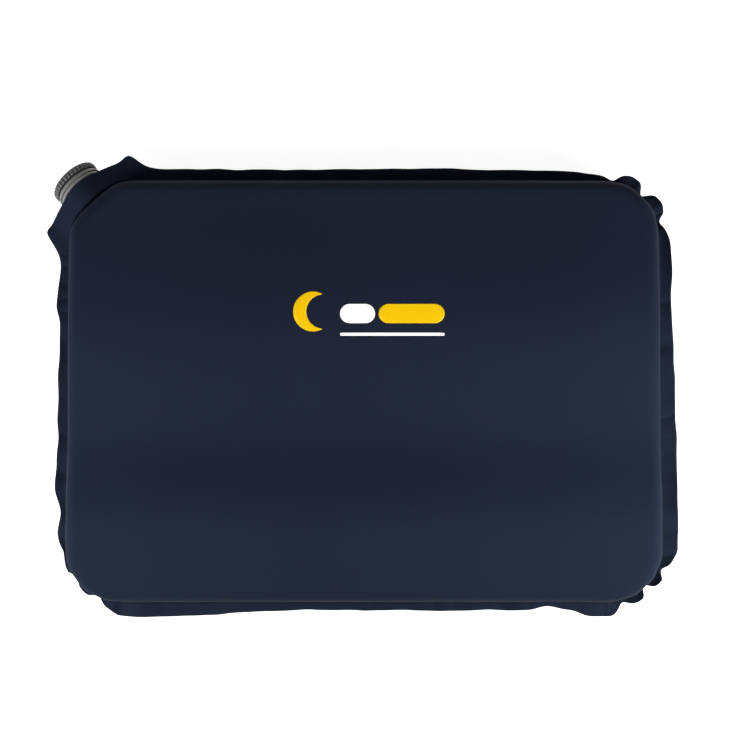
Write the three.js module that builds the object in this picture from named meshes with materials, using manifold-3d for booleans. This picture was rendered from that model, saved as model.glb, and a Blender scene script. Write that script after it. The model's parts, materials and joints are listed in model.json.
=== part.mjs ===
// Self-inflating camp pillow: a contoured open-cell foam block in an airtight cover of two
// coated fabric sheets, welded together along a flange at mid-height, with a screw valve in
// one back corner. Millimetres, +Z up, the pillow lying flat with its valve edge towards +Y.

import * as THREE from 'three';
import { mergeVertices } from 'three/addons/utils/BufferGeometryUtils.js';
import Module from 'manifold-3d';

const wasm = await Module();
wasm.setup();

const ROUND_SEGMENTS = 60; // flats round a turned piece
const THREAD_SEGMENTS = 40; // steps in one turn of a thread
const THREAD_ROOTING = 0.3; // how deep a thread's foot is sunk in its wall

// ---------------------------------------------------------------- driving dimensions

// cushion, over the fabric
const BODY_LENGTH = 432; // along X, at the front
const BODY_WIDTH = 305; // along Y
const BACK_TAPER = 2.5; // each end leans in by this much from front to back
const CORNER_RADIUS = 38; // plan corners
const EDGE_RADIUS = 12; // rounding where the faces meet the side wall
// heights of the contoured face, at shares of the half width: two lobes and a dip between them
const BACK_EDGE_HEIGHT = 77;
const BACK_LOBE_HEIGHT = 90;
const DIP_HEIGHT = 84;
const FRONT_LOBE_HEIGHT = 100;
const FRONT_EDGE_HEIGHT = 90;
const BACK_LOBE_AT = 0.28;
const DIP_AT = -0.2;
const FRONT_LOBE_AT = -0.64;

// cover
const WALL = 1.2; // fabric sheet, with its airtight coating
const FLANGE = 12; // welded border past the side wall
const FLANGE_HEIGHT = 48; // height of the weld line over the resting face
const FIT_GAP = 0.3; // between neighbours that touch

// valve corner
const VALVE_TURN = THREE.MathUtils.degToRad(42.7); // from +Y towards -X
const VALVE_DROOP = THREE.MathUtils.degToRad(20); // below the horizontal
const CORNER_CUT = 21; // how far the cut corner lies inside the sharp body corner
const MOUTH_REACH = 12.5; // from the cut corner to the valve's seat
const MOUTH_MARGIN = 7; // of fabric past each tip of the barrel, along the mouth's straight edge
const MOUTH_INSET = 5; // of that edge behind the seat
const TIP_RUN = 26; // along the flange, where its line lifts out to the tips
const FOLD_BACK = 20; // behind the seat, where the weld line starts to droop

// valve
const BARREL_RADIUS = 17;
const BARREL_DEPTH = 14;
const BARREL_PROUD = 0.4; // past the mouth, into the seat flange
const WING_SPAN = 70; // over both tips of the barrel's boat shape
const SEAT_LIP = 0.8; // of the seat flange past the barrel
const SEAT_HEIGHT = 2.4;
const BORE_RADIUS = 7;
const NECK_RADIUS = 9.5;
const NECK_TOP = 10;
const THREAD_LEAD = 4;
const THREAD_DEPTH = 1;
const THREAD_BASE = 1.4;
const THREAD_CLEARANCE = 0.4;
const COLLAR_LIP = 0.5; // past the seat flange
const COLLAR_HEIGHT = 3.3;
const COLLAR_CLEARANCE = 0.5; // round the knob's skirt
const KNOB_RADIUS = 18.1;
const KNOB_HEIGHT = 5.5;
const KNOB_GROOVE = 0.8; // shadow gap between collar and knob
const KNOB_WALL = 2.2;
const KNOB_PLATE = 1.3;
const KNURL_COUNT = 36;
const KNURL_DEPTH = 0.6;
const SKIRT_WALL = 2;
const SEAL_THICKNESS = 1;
const O_RING_SECTION = 1.6;
const GUARD_THICKNESS = 1.2;
const GUARD_LIP = 2; // past the bore
const GUARD_PLUG = 3; // into the bore
const GUARD_WALL = 1;
const GUARD_HOLES = 6; // round one in the middle
const GUARD_HOLE_RADIUS = 1.1;
const STEM_RADIUS = 2;
const BUTTON_CLEARANCE = 1.5; // in the bore
const BUTTON_HEIGHT = 1.4;
const EDGE_BREAK = 0.5; // chamfer on the valve's moulded edges
const FOAM_RELIEF = 2; // round the barrel
const FOAM_SETBACK = 5; // behind the barrel

// ---------------------------------------------------------------- solids by code

/** A closed geometry as a manifold solid. */
function solid(geometry) {
  const bare = geometry.index ? geometry.toNonIndexed() : geometry.clone();
  bare.deleteAttribute('normal');
  bare.deleteAttribute('uv');
  const merged = mergeVertices(bare, 1e-4);
  return new wasm.Manifold(new wasm.Mesh({
    numProp: 3,
    vertProperties: new Float32Array(merged.attributes.position.array),
    triVerts: new Uint32Array(merged.index.array),
  }));
}

/** A manifold solid as a geometry. */
function geometryOf(body) {
  const mesh = body.getMesh();
  const geometry = new THREE.BufferGeometry();
  geometry.setAttribute('position', new THREE.BufferAttribute(mesh.vertProperties, 3));
  geometry.setIndex(new THREE.BufferAttribute(mesh.triVerts, 1));
  return geometry;
}

/** A solid skinned over closed rings of equal length, flat-capped at the first and last. */
function loft(rings) {
  const count = rings[0].length;
  const positions = rings.flat().flatMap((p) => [p.x, p.y, p.z]);
  const index = [];
  for (let level = 0; level + 1 < rings.length; level += 1) {
    for (let i = 0; i < count; i += 1) {
      const a = level * count + i;
      const b = level * count + ((i + 1) % count);
      index.push(a, b, b + count, a, b + count, a + count);
    }
  }
  const cap = (level, flip) => {
    const flat = rings[level].map((p) => new THREE.Vector2(p.x, p.y));
    for (const [a, b, c] of THREE.ShapeUtils.triangulateShape(flat, [])) {
      const corner = [a, b, c].map((i) => i + level * count);
      index.push(...(flip ? corner.reverse() : corner));
    }
  };
  cap(0, true);
  cap(rings.length - 1, false);
  const geometry = new THREE.BufferGeometry();
  geometry.setAttribute('position', new THREE.Float32BufferAttribute(positions, 3));
  geometry.setIndex(index);
  return geometry;
}

/** A prism of a plan shape from one height to another. */
function prism(shape, low, high) {
  const geometry = new THREE.ExtrudeGeometry(shape, {
    depth: high - low,
    bevelEnabled: false,
    curveSegments: 12,
  });
  geometry.translate(0, 0, low);
  return geometry;
}

/** A round solid about local Y from [radius, height] points. */
function turned(points, segments = ROUND_SEGMENTS) {
  const profile = points.map(([r, y]) => new THREE.Vector2(r, y));
  return new THREE.LatheGeometry(profile, segments);
}

/** A tube about local Y: a full ring of rectangular section. */
function ring(inner, outer, low, high) {
  return turned([[inner, low], [outer, low], [outer, high], [inner, high], [inner, low]]);
}

/** A round rod about local Y. */
function rod(radius, low, high, segments = ROUND_SEGMENTS) {
  return turned([[0, low], [radius, low], [radius, high], [0, high]], segments);
}

// ---------------------------------------------------------------- cushion outline

const HALF_LENGTH = BODY_LENGTH / 2;
const HALF_WIDTH = BODY_WIDTH / 2;
const outward = new THREE.Vector2(-Math.sin(VALVE_TURN), Math.cos(VALVE_TURN));
const along = new THREE.Vector2(outward.y, -outward.x);
const sharpCorner = new THREE.Vector2(-HALF_LENGTH + BACK_TAPER, HALF_WIDTH);
const CUT_DISTANCE = outward.dot(sharpCorner) - CORNER_CUT;

/** The end wall's X on the left at a given Y. */
function leftEdge(y) {
  return -HALF_LENGTH + BACK_TAPER * (y + HALF_WIDTH) / BODY_WIDTH;
}

/** Where the cut corner's line meets the back edge and the left edge. */
function cutPoints() {
  const onBack = (CUT_DISTANCE - outward.y * HALF_WIDTH) / outward.x;
  const slope = BACK_TAPER / BODY_WIDTH;
  const leftAtZero = leftEdge(0);
  const onLeft = (CUT_DISTANCE - outward.x * leftAtZero) / (outward.y + outward.x * slope);
  return [new THREE.Vector2(onBack, HALF_WIDTH), new THREE.Vector2(leftEdge(onLeft), onLeft)];
}

const [cutBack, cutLeft] = cutPoints();
const bodyCorners = [
  { at: new THREE.Vector2(HALF_LENGTH, -HALF_WIDTH), steps: 20 },
  { at: new THREE.Vector2(HALF_LENGTH - BACK_TAPER, HALF_WIDTH), steps: 12 },
  { at: cutBack, steps: 3 },
  { at: cutLeft, steps: 16 },
  { at: new THREE.Vector2(-HALF_LENGTH, -HALF_WIDTH), steps: 12 },
];

/** One rounded corner: its arc centre and the directions of the two edges' normals. */
function arcOf(corners, k) {
  const here = corners[k].at;
  const before = corners[(k + corners.length - 1) % corners.length].at;
  const after = corners[(k + 1) % corners.length].at;
  const arriving = here.clone().sub(before).normalize();
  const leaving = after.clone().sub(here).normalize();
  const start = Math.atan2(-arriving.x, arriving.y);
  const turn = Math.atan2(arriving.cross(leaving), arriving.dot(leaving));
  const reach = CORNER_RADIUS * Math.tan(turn / 2);
  const centre = here.clone().addScaledVector(arriving, -reach);
  centre.addScaledVector(new THREE.Vector2(-arriving.y, arriving.x), CORNER_RADIUS);
  return { centre, start, turn };
}

const ARC_STEPS = 8;
const arcs = bodyCorners.map((_, k) => arcOf(bodyCorners, k));

/** The cushion's plan outline, moved inwards by an inset, as points in order. */
function outline(inset) {
  const points = [];
  const arcPoint = ({ centre, start, turn }, share) => {
    const angle = start + turn * share;
    const radius = CORNER_RADIUS - inset;
    return new THREE.Vector2(Math.cos(angle), Math.sin(angle)).multiplyScalar(radius).add(centre);
  };
  arcs.forEach((arc, k) => {
    for (let i = 0; i < ARC_STEPS; i += 1) points.push(arcPoint(arc, i / ARC_STEPS));
    const from = arcPoint(arc, 1);
    const to = arcPoint(arcs[(k + 1) % arcs.length], 0);
    const steps = bodyCorners[k].steps;
    for (let i = 0; i < steps; i += 1) points.push(from.clone().lerp(to, i / steps));
  });
  return points;
}

const contour = [
  [1, BACK_EDGE_HEIGHT],
  [BACK_LOBE_AT, BACK_LOBE_HEIGHT],
  [DIP_AT, DIP_HEIGHT],
  [FRONT_LOBE_AT, FRONT_LOBE_HEIGHT],
  [-1, FRONT_EDGE_HEIGHT],
];

/** Height of the contoured face at a given Y. */
function faceHeight(y) {
  const share = THREE.MathUtils.clamp(y / HALF_WIDTH, -1, 1);
  const next = contour.findIndex(([at]) => at <= share);
  if (next <= 0) return contour[0][1];
  const [from, high] = contour[next - 1];
  const [to, low] = contour[next];
  return high + (low - high) * THREE.MathUtils.smoothstep((from - share) / (from - to), 0, 1);
}

const ROUND_STEPS = 4;
const FACE_RINGS = [0.82, 0.64, 0.46, 0.28, 0.12];

/** The whole cushion, shrunk all round by a depth under its outer surface. */
function cushion(depth) {
  const radius = EDGE_RADIUS - depth;
  const rings = [];
  const at = (inset, height) => outline(inset).map((p) => new THREE.Vector3(p.x, p.y, height(p.y)));
  for (let i = 0; i <= ROUND_STEPS; i += 1) {
    const angle = (i / ROUND_STEPS) * Math.PI / 2;
    const inset = depth + radius * (1 - Math.sin(angle));
    rings.push(at(inset, () => depth + radius * (1 - Math.cos(angle))));
  }
  for (let i = 0; i <= ROUND_STEPS; i += 1) {
    const angle = (i / ROUND_STEPS) * Math.PI / 2;
    const inset = depth + radius * (1 - Math.cos(angle));
    rings.push(at(inset, (y) => faceHeight(y) - depth - radius * (1 - Math.sin(angle))));
  }
  const rim = outline(EDGE_RADIUS);
  for (const share of FACE_RINGS) {
    rings.push(rim.map(({ x, y }) => (
      new THREE.Vector3(x * share, y * share, faceHeight(y * share) - depth)
    )));
  }
  return solid(loft(rings));
}

// ---------------------------------------------------------------- valve place

const seat = outward.clone().multiplyScalar(CUT_DISTANCE + MOUTH_REACH);
const middle = cutBack.clone().add(cutLeft).multiplyScalar(0.5);
seat.addScaledVector(along, along.dot(middle));
const seatHeight = FLANGE_HEIGHT - FOLD_BACK * Math.tan(VALVE_DROOP);

const valve = new THREE.Group();
valve.position.set(seat.x, seat.y, seatHeight);
valve.rotation.set(-VALVE_DROOP, 0, VALVE_TURN, 'ZXY');
valve.updateMatrix();

/** The boat section of the barrel: a circle with tangents running out to two tips. */
function boatShape(grow) {
  const radius = BARREL_RADIUS + grow;
  const tip = WING_SPAN / 2 + grow;
  const touch = Math.acos(radius / tip);
  const shape = new THREE.Shape();
  shape.absarc(0, 0, radius, touch, Math.PI - touch, false);
  shape.lineTo(-tip, 0);
  shape.absarc(0, 0, radius, Math.PI + touch, 2 * Math.PI - touch, false);
  shape.lineTo(tip, 0);
  shape.closePath();
  return shape;
}

/** A boat-shaped bar along the valve axis, between two distances from the seat. */
function boat(grow, low, high) {
  const geometry = prism(boatShape(grow), low, high);
  geometry.rotateX(-Math.PI / 2);
  return geometry;
}

/** Puts a solid made in the valve's own frame into the pillow's frame. */
function placed(geometry) {
  return solid(geometry.clone().applyMatrix4(valve.matrix));
}

// ---------------------------------------------------------------- cover

/** Plan of the welded flange, with the straight mouth edge and its two tips. */
function flangeShape() {
  const shape = new THREE.Shape();
  const radius = CORNER_RADIUS + FLANGE;
  const edge = seat.clone().addScaledVector(outward, -MOUTH_INSET);
  const halfEdge = WING_SPAN / 2 + MOUTH_MARGIN;
  const backTip = edge.clone().addScaledVector(along, halfEdge);
  const leftTip = edge.clone().addScaledVector(along, -halfEdge);
  const corner = (k) => {
    const { centre, start, turn } = arcs[k];
    shape.absarc(centre.x, centre.y, radius, start, start + turn, false);
  };
  corner(0);
  corner(1);
  shape.lineTo(backTip.x + TIP_RUN, HALF_WIDTH + FLANGE);
  shape.quadraticCurveTo(backTip.x + TIP_RUN / 3, HALF_WIDTH + FLANGE, backTip.x, backTip.y);
  shape.lineTo(leftTip.x, leftTip.y);
  const low = leftTip.y - TIP_RUN;
  shape.quadraticCurveTo(leftEdge(low) - FLANGE, leftTip.y - TIP_RUN / 3, leftEdge(low) - FLANGE, low);
  corner(4);
  shape.closePath();
  return shape;
}

const FAR = 2 * BODY_LENGTH;

/** Everything between two heights over the weld line, which folds down at the valve corner. */
function band(low, high) {
  const fold = CUT_DISTANCE + MOUTH_REACH - FOLD_BACK;
  const drop = (FAR - fold) * Math.tan(VALVE_DROOP);
  const section = new THREE.Shape([
    new THREE.Vector2(-FAR, FLANGE_HEIGHT + low),
    new THREE.Vector2(fold, FLANGE_HEIGHT + low),
    new THREE.Vector2(FAR, FLANGE_HEIGHT + low - drop),
    new THREE.Vector2(FAR, FLANGE_HEIGHT + high - drop),
    new THREE.Vector2(fold, FLANGE_HEIGHT + high),
    new THREE.Vector2(-FAR, FLANGE_HEIGHT + high),
  ]);
  const geometry = prism(section, -FAR, FAR);
  geometry.applyMatrix4(new THREE.Matrix4().makeBasis(
    new THREE.Vector3(outward.x, outward.y, 0),
    new THREE.Vector3(0, 0, 1),
    new THREE.Vector3(outward.y, -outward.x, 0),
  ));
  return solid(geometry);
}

const HALF_GAP = FIT_GAP / 2;
const POCKET_DEPTH = BARREL_DEPTH + 24;
const MOUTH_GAP = 0.3;

const flangePlan = solid(prism(flangeShape(), -FAR, FAR));
const pocketOuter = placed(boat(FIT_GAP + WALL, -POCKET_DEPTH, -MOUTH_GAP));
const pocketInner = placed(boat(FIT_GAP, -POCKET_DEPTH - 2 * WALL, FAR));
const hollow = cushion(WALL).add(pocketInner);
const outside = cushion(0).add(pocketOuter);

/** One cover sheet: its half of the cushion's skin and its own layer of the flange. */
function coverSheet(side, flangeBand) {
  return outside.intersect(side).add(flangePlan.intersect(flangeBand)).subtract(hollow);
}

const topSheet = coverSheet(band(HALF_GAP, FAR), band(HALF_GAP, HALF_GAP + WALL));
const bottomSheet = coverSheet(band(-FAR, -HALF_GAP), band(-HALF_GAP - WALL, -HALF_GAP));

// ---------------------------------------------------------------- foam

const foam = cushion(WALL + FIT_GAP).subtract(
  placed(boat(FOAM_RELIEF, -BARREL_DEPTH - FOAM_SETBACK, FAR)),
);

// ---------------------------------------------------------------- valve pieces, seat at Y = 0

/** A single-start right-hand ridge about local Y, proud of a cylinder or inside a bore. */
function threadRidge(root, crest, low, high) {
  const turns = (high - low) / THREAD_LEAD;
  const steps = Math.round(turns * THREAD_SEGMENTS);
  const foot = root + Math.sign(root - crest) * THREAD_ROOTING;
  const half = THREAD_BASE / 2;
  const section = [[foot, -half], [crest, -half / 2], [crest, half / 2], [foot, half]];
  const positions = [];
  const index = [];
  for (let i = 0; i <= steps; i += 1) {
    const angle = (i / steps) * turns * 2 * Math.PI;
    const middleY = low + (i / steps) * (high - low);
    for (const [radius, rise] of section) {
      positions.push(radius * Math.sin(angle), middleY + rise, radius * Math.cos(angle));
    }
  }
  for (let i = 0; i < steps; i += 1) {
    for (let k = 0; k < 4; k += 1) {
      const a = 4 * i + k;
      const b = 4 * i + ((k + 1) % 4);
      index.push(a, b, b + 4, a, b + 4, a + 4);
    }
  }
  const last = 4 * steps;
  index.push(2, 1, 0, 3, 2, 0);
  index.push(last, last + 1, last + 2, last, last + 2, last + 3);
  const geometry = new THREE.BufferGeometry();
  geometry.setAttribute('position', new THREE.Float32BufferAttribute(positions, 3));
  geometry.setIndex(crest > root ? index : index.reverse());
  return solid(geometry);
}

const THREAD_CREST = NECK_RADIUS + THREAD_DEPTH;
const SEAT_RADIUS = BARREL_RADIUS + SEAT_LIP;
const COLLAR_RADIUS = SEAT_RADIUS + COLLAR_LIP;
const NUT_CREST = NECK_RADIUS + THREAD_CLEARANCE;
const NUT_ROOT = THREAD_CREST + THREAD_CLEARANCE;
const SKIRT_RADIUS = NUT_ROOT + SKIRT_WALL;
const COLLAR_LOW = SEAT_HEIGHT + FIT_GAP;
const COLLAR_TOP = COLLAR_LOW + COLLAR_HEIGHT;
const KNOB_LOW = COLLAR_TOP + KNOB_GROOVE;
const KNOB_TOP = KNOB_LOW + KNOB_HEIGHT;
const SEAL_LOW = NECK_TOP + FIT_GAP;
const PLATE_LOW = SEAL_LOW + SEAL_THICKNESS + FIT_GAP;
const PLATE_TOP = PLATE_LOW + KNOB_PLATE;
const SKIRT_LOW = SEAT_HEIGHT + O_RING_SECTION + 3 * FIT_GAP;
const THREAD_LOW = SKIRT_LOW;
const STEM_TOP = PLATE_LOW + KNOB_PLATE / 2 - FIT_GAP;

/** Boat-shaped barrel with its seat flange, threaded neck and air bore. */
function valveBody() {
  const neck = rod(NECK_RADIUS, 0, NECK_TOP);
  const flange = turned([
    [0, 0],
    [SEAT_RADIUS, 0],
    [SEAT_RADIUS, SEAT_HEIGHT - EDGE_BREAK],
    [SEAT_RADIUS - EDGE_BREAK, SEAT_HEIGHT],
    [0, SEAT_HEIGHT],
  ]);
  return solid(boat(0, -BARREL_DEPTH, BARREL_PROUD))
    .add(solid(flange))
    .add(solid(neck))
    .add(threadRidge(NECK_RADIUS, THREAD_CREST, THREAD_LOW, NECK_TOP - THREAD_BASE))
    .subtract(solid(rod(BORE_RADIUS, -2 * BARREL_DEPTH, 2 * NECK_TOP)));
}

/** Trim ring on the seat flange, with a recess that the knob's skirt turns in. */
function valveCollar() {
  const inner = SKIRT_RADIUS + COLLAR_CLEARANCE;
  return solid(turned([
    [inner, COLLAR_LOW],
    [COLLAR_RADIUS, COLLAR_LOW],
    [COLLAR_RADIUS, COLLAR_TOP - EDGE_BREAK],
    [COLLAR_RADIUS - EDGE_BREAK, COLLAR_TOP],
    [inner, COLLAR_TOP],
    [inner, COLLAR_LOW],
  ]));
}

/** Closed ring of round section round the foot of the neck. */
function baseRing() {
  const section = O_RING_SECTION / 2;
  const centre = NECK_RADIUS + FIT_GAP + section;
  const torus = new THREE.TorusGeometry(centre, section, 8, ROUND_SEGMENTS);
  torus.rotateX(Math.PI / 2);
  torus.translate(0, SEAT_HEIGHT + FIT_GAP + section, 0);
  return solid(torus);
}

/** Scalloped ring of grip ribs. */
function knurl() {
  const shape = new THREE.Shape();
  const steps = KNURL_COUNT * 6;
  for (let i = 0; i < steps; i += 1) {
    const angle = (i / steps) * 2 * Math.PI;
    const wave = 0.5 + 0.5 * Math.cos(angle * KNURL_COUNT);
    const radius = KNOB_RADIUS + KNURL_DEPTH * Math.sqrt(wave);
    const point = [radius * Math.cos(angle), radius * Math.sin(angle)];
    if (i === 0) shape.moveTo(...point);
    else shape.lineTo(...point);
  }
  shape.closePath();
  const hole = new THREE.Path();
  hole.absarc(0, 0, KNOB_RADIUS - KNOB_WALL / 2, 0, 2 * Math.PI, true);
  shape.holes.push(hole);
  const geometry = prism(shape, KNOB_LOW + EDGE_BREAK, KNOB_TOP - EDGE_BREAK);
  geometry.rotateX(-Math.PI / 2);
  return solid(geometry);
}

/** Screw cap: ribbed rim, top plate and threaded skirt, with a blind hole for the button. */
function valveKnob() {
  const rimInner = KNOB_RADIUS - KNOB_WALL;
  const roof = KNOB_TOP - KNOB_WALL;
  const shell = turned([
    [0, PLATE_LOW],
    [NUT_ROOT, PLATE_LOW],
    [NUT_ROOT, SKIRT_LOW],
    [SKIRT_RADIUS, SKIRT_LOW],
    [SKIRT_RADIUS, roof],
    [rimInner, roof],
    [rimInner, KNOB_LOW],
    [KNOB_RADIUS, KNOB_LOW],
    [KNOB_RADIUS, KNOB_TOP - EDGE_BREAK],
    [KNOB_RADIUS - EDGE_BREAK, KNOB_TOP],
    [SKIRT_RADIUS + EDGE_BREAK, KNOB_TOP],
    [SKIRT_RADIUS, PLATE_TOP],
    [0, PLATE_TOP],
  ]);
  const nutLow = SKIRT_LOW + THREAD_BASE / 2;
  const nut = threadRidge(NUT_ROOT, NUT_CREST, nutLow, PLATE_LOW - THREAD_BASE);
  // half a lead out of step with the neck's ridge, so each ridge runs in the other's groove
  const turnsOn = (nutLow - THREAD_LOW) / THREAD_LEAD + 0.5;
  const nutRidge = nut.rotate([0, turnsOn * 360, 0]);
  return solid(shell)
    .add(knurl())
    .add(nutRidge)
    .subtract(solid(rod(STEM_RADIUS + FIT_GAP, PLATE_LOW - 1, STEM_TOP + FIT_GAP)));
}

/** Rubber washer that shuts the mouth of the neck. */
function knobSeal() {
  const outer = NUT_CREST - 3 * FIT_GAP;
  return solid(ring(STEM_RADIUS + FIT_GAP, outer, SEAL_LOW, SEAL_LOW + SEAL_THICKNESS));
}

/** Mushroom button that holds the washer to the knob. */
function sealButton() {
  const top = SEAL_LOW - FIT_GAP;
  const radius = BORE_RADIUS - BUTTON_CLEARANCE;
  return solid(turned([
    [0, top - BUTTON_HEIGHT],
    [radius - EDGE_BREAK, top - BUTTON_HEIGHT],
    [radius, top - BUTTON_HEIGHT + EDGE_BREAK],
    [radius, top],
    [STEM_RADIUS, top],
    [STEM_RADIUS, STEM_TOP],
    [0, STEM_TOP],
  ]));
}

/** Perforated cap on the inner end of the bore, which keeps the foam out. */
function foamGuard() {
  const top = -BARREL_DEPTH - FIT_GAP;
  const low = top - GUARD_THICKNESS;
  const plug = BORE_RADIUS - FIT_GAP;
  const cap = solid(turned([
    [0, low],
    [BORE_RADIUS + GUARD_LIP, low],
    [BORE_RADIUS + GUARD_LIP, top],
    [plug, top],
    [plug, top + GUARD_PLUG],
    [plug - GUARD_WALL, top + GUARD_PLUG],
    [plug - GUARD_WALL, top],
    [0, top],
  ]));
  const holeAt = (plug - GUARD_WALL + GUARD_HOLE_RADIUS) / 2;
  const hole = rod(GUARD_HOLE_RADIUS, low - 1, top + 1, 10);
  let guard = cap.subtract(solid(hole));
  for (let i = 0; i < GUARD_HOLES; i += 1) {
    const angle = (i / GUARD_HOLES) * 2 * Math.PI;
    const drill = hole.clone().translate(holeAt * Math.cos(angle), 0, holeAt * Math.sin(angle));
    guard = guard.subtract(solid(drill));
  }
  return guard;
}

// ---------------------------------------------------------------- finishes

const navyFabric = new THREE.MeshStandardMaterial({ color: 0x1c2438, roughness: 0.62, metalness: 0 });
const foamCream = new THREE.MeshStandardMaterial({ color: 0xd9cfa8, roughness: 0.95, metalness: 0 });
const greyPlastic = new THREE.MeshStandardMaterial({ color: 0x6f7173, roughness: 0.45, metalness: 0 });
const clearPlastic = new THREE.MeshStandardMaterial({ color: 0x9a9c9d, roughness: 0.4, metalness: 0 });
const blackRubber = new THREE.MeshStandardMaterial({ color: 0x141414, roughness: 0.8, metalness: 0 });

// ---------------------------------------------------------------- assembly

/** A named mesh of a solid, with a material of its own. */
function piece(name, body, finish) {
  const mesh = new THREE.Mesh(geometryOf(body), finish.clone());
  mesh.name = name;
  return mesh;
}

valve.add(
  piece('valve_body', valveBody(), greyPlastic),
  piece('valve_collar', valveCollar(), clearPlastic),
  piece('base_o_ring', baseRing(), blackRubber),
  piece('valve_knob', valveKnob(), greyPlastic),
  piece('knob_seal', knobSeal(), blackRubber),
  piece('seal_button', sealButton(), greyPlastic),
  piece('foam_guard', foamGuard(), clearPlastic),
);

const pillow = new THREE.Group();
pillow.add(
  piece('foam_core', foam, foamCream),
  piece('top_cover', topSheet, navyFabric),
  piece('bottom_cover', bottomSheet, navyFabric),
  valve,
);

// the origin is under the middle of the whole pillow, on the surface it rests on
const extent = new THREE.Box3().setFromObject(pillow, true);
const centre = extent.getCenter(new THREE.Vector3());
pillow.position.set(-centre.x, -centre.y, -extent.min.z);
pillow.updateMatrixWorld(true);

export default pillow;
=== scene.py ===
"""Self-inflating camp pillow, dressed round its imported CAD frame.

Everything is in metres in the frame's own axes: +X along the pillow, +Y to the edge with the
valve, +Z up. The two cover sheets are grown from flat grids: a face, a rounded edge, a side wall
and a welded flange that gathers in pleats at the corners and opens into the valve's mouth.
"""

import json
import logging
import math
from dataclasses import dataclass, field
from enum import Enum
from typing import Callable, Sequence

import bmesh
import bpy
from mathutils import Matrix, Vector, noise


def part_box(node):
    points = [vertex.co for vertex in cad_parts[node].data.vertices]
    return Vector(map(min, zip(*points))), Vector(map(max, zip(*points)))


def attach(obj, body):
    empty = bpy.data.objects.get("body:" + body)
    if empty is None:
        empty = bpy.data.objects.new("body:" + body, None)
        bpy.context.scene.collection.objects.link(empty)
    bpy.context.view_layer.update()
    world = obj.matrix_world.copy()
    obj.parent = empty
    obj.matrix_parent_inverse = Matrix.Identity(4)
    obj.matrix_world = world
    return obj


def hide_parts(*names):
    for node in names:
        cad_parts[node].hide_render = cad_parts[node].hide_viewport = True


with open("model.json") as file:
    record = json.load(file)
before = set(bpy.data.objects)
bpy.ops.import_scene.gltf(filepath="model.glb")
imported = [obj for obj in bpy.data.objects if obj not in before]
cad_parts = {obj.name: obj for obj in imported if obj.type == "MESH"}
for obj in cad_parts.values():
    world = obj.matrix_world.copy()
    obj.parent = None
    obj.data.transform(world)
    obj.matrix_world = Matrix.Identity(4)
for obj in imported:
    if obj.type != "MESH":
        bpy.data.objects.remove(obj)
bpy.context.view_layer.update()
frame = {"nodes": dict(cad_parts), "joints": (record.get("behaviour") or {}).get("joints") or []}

MM = 0.001
FLAT_PATTERN = "flat_pattern"
EDGE_PLACE = "edge_place"
EDGE_SLACK = "edge_slack"
WORN = "worn"
WEAVE_PITCH = 0.42 * MM

logging.basicConfig(level=logging.INFO, format="%(levelname)s %(name)s: %(message)s")
log = logging.getLogger("camp_pillow")


# ------------------------------------------------------------------ choices


class Body(Enum):
    """The rigid bodies of the frame that pieces ride on."""

    PILLOW = "pillow"
    KNOB = "knob"


class Side(Enum):
    """The two halves of the cover; the value is the way its face looks along Z."""

    TOP = 1
    BOTTOM = -1


class Stretch(Enum):
    """Stretches of the cushion's edge, in order round it from the front right corner."""

    FRONT_RIGHT = 0
    RIGHT = 1
    BACK_RIGHT = 2
    BACK = 3
    VALVE_CORNER = 4
    LEFT = 5
    FRONT_LEFT = 6
    FRONT = 7


# ------------------------------------------------------------------ small helpers


def smooth(share: float) -> float:
    """Eased 0 to 1 for a share from 0 to 1, clamped outside it."""
    share = min(max(share, 0.0), 1.0)
    return share * share * (3.0 - 2.0 * share)


def mix(a: float, b: float, share: float) -> float:
    """Straight mix of two numbers."""
    return a + (b - a) * share


def link(name: str, bm: bmesh.types.BMesh) -> bpy.types.Object:
    """Turns a bmesh into a smooth-shaded object at the origin.

    Args:
        name: the piece's name.
        bm: the finished mesh, which is freed.

    Returns:
        The new object, linked into the scene.
    """
    for face in bm.faces:
        face.smooth = True
    mesh = bpy.data.meshes.new(name)
    bm.to_mesh(mesh)
    bm.free()
    piece = bpy.data.objects.new(name, mesh)
    bpy.context.scene.collection.objects.link(piece)
    return piece


def grid_share(place: float) -> float:
    """Share from 0 to 1 for a place from -1 to 1 on a new grid."""
    return (place + 1.0) / 2.0


def add_grid(bm: bmesh.types.BMesh, across: int, along: int) -> None:
    """Adds a grid that runs from -1 to 1 both ways, with so many cells across and along."""
    bmesh.ops.create_grid(bm, x_segments=across, y_segments=along, size=1.0)


def face_up(bm: bmesh.types.BMesh, direction: float) -> None:
    """Turns an open sheet's faces to look the way of a direction along Z, 1 or -1."""
    bmesh.ops.recalc_face_normals(bm, faces=bm.faces)
    up = sum(face.normal.z for face in bm.faces if abs(face.normal.z) > 0.9)
    if up * direction < 0.0:
        bmesh.ops.reverse_faces(bm, faces=bm.faces)


def report(piece: bpy.types.Object) -> None:
    """Logs a finished piece and the size of its mesh."""
    log.info("%s: %d faces", piece.name, len(piece.data.polygons))


# ------------------------------------------------------------------ finishes


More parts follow.
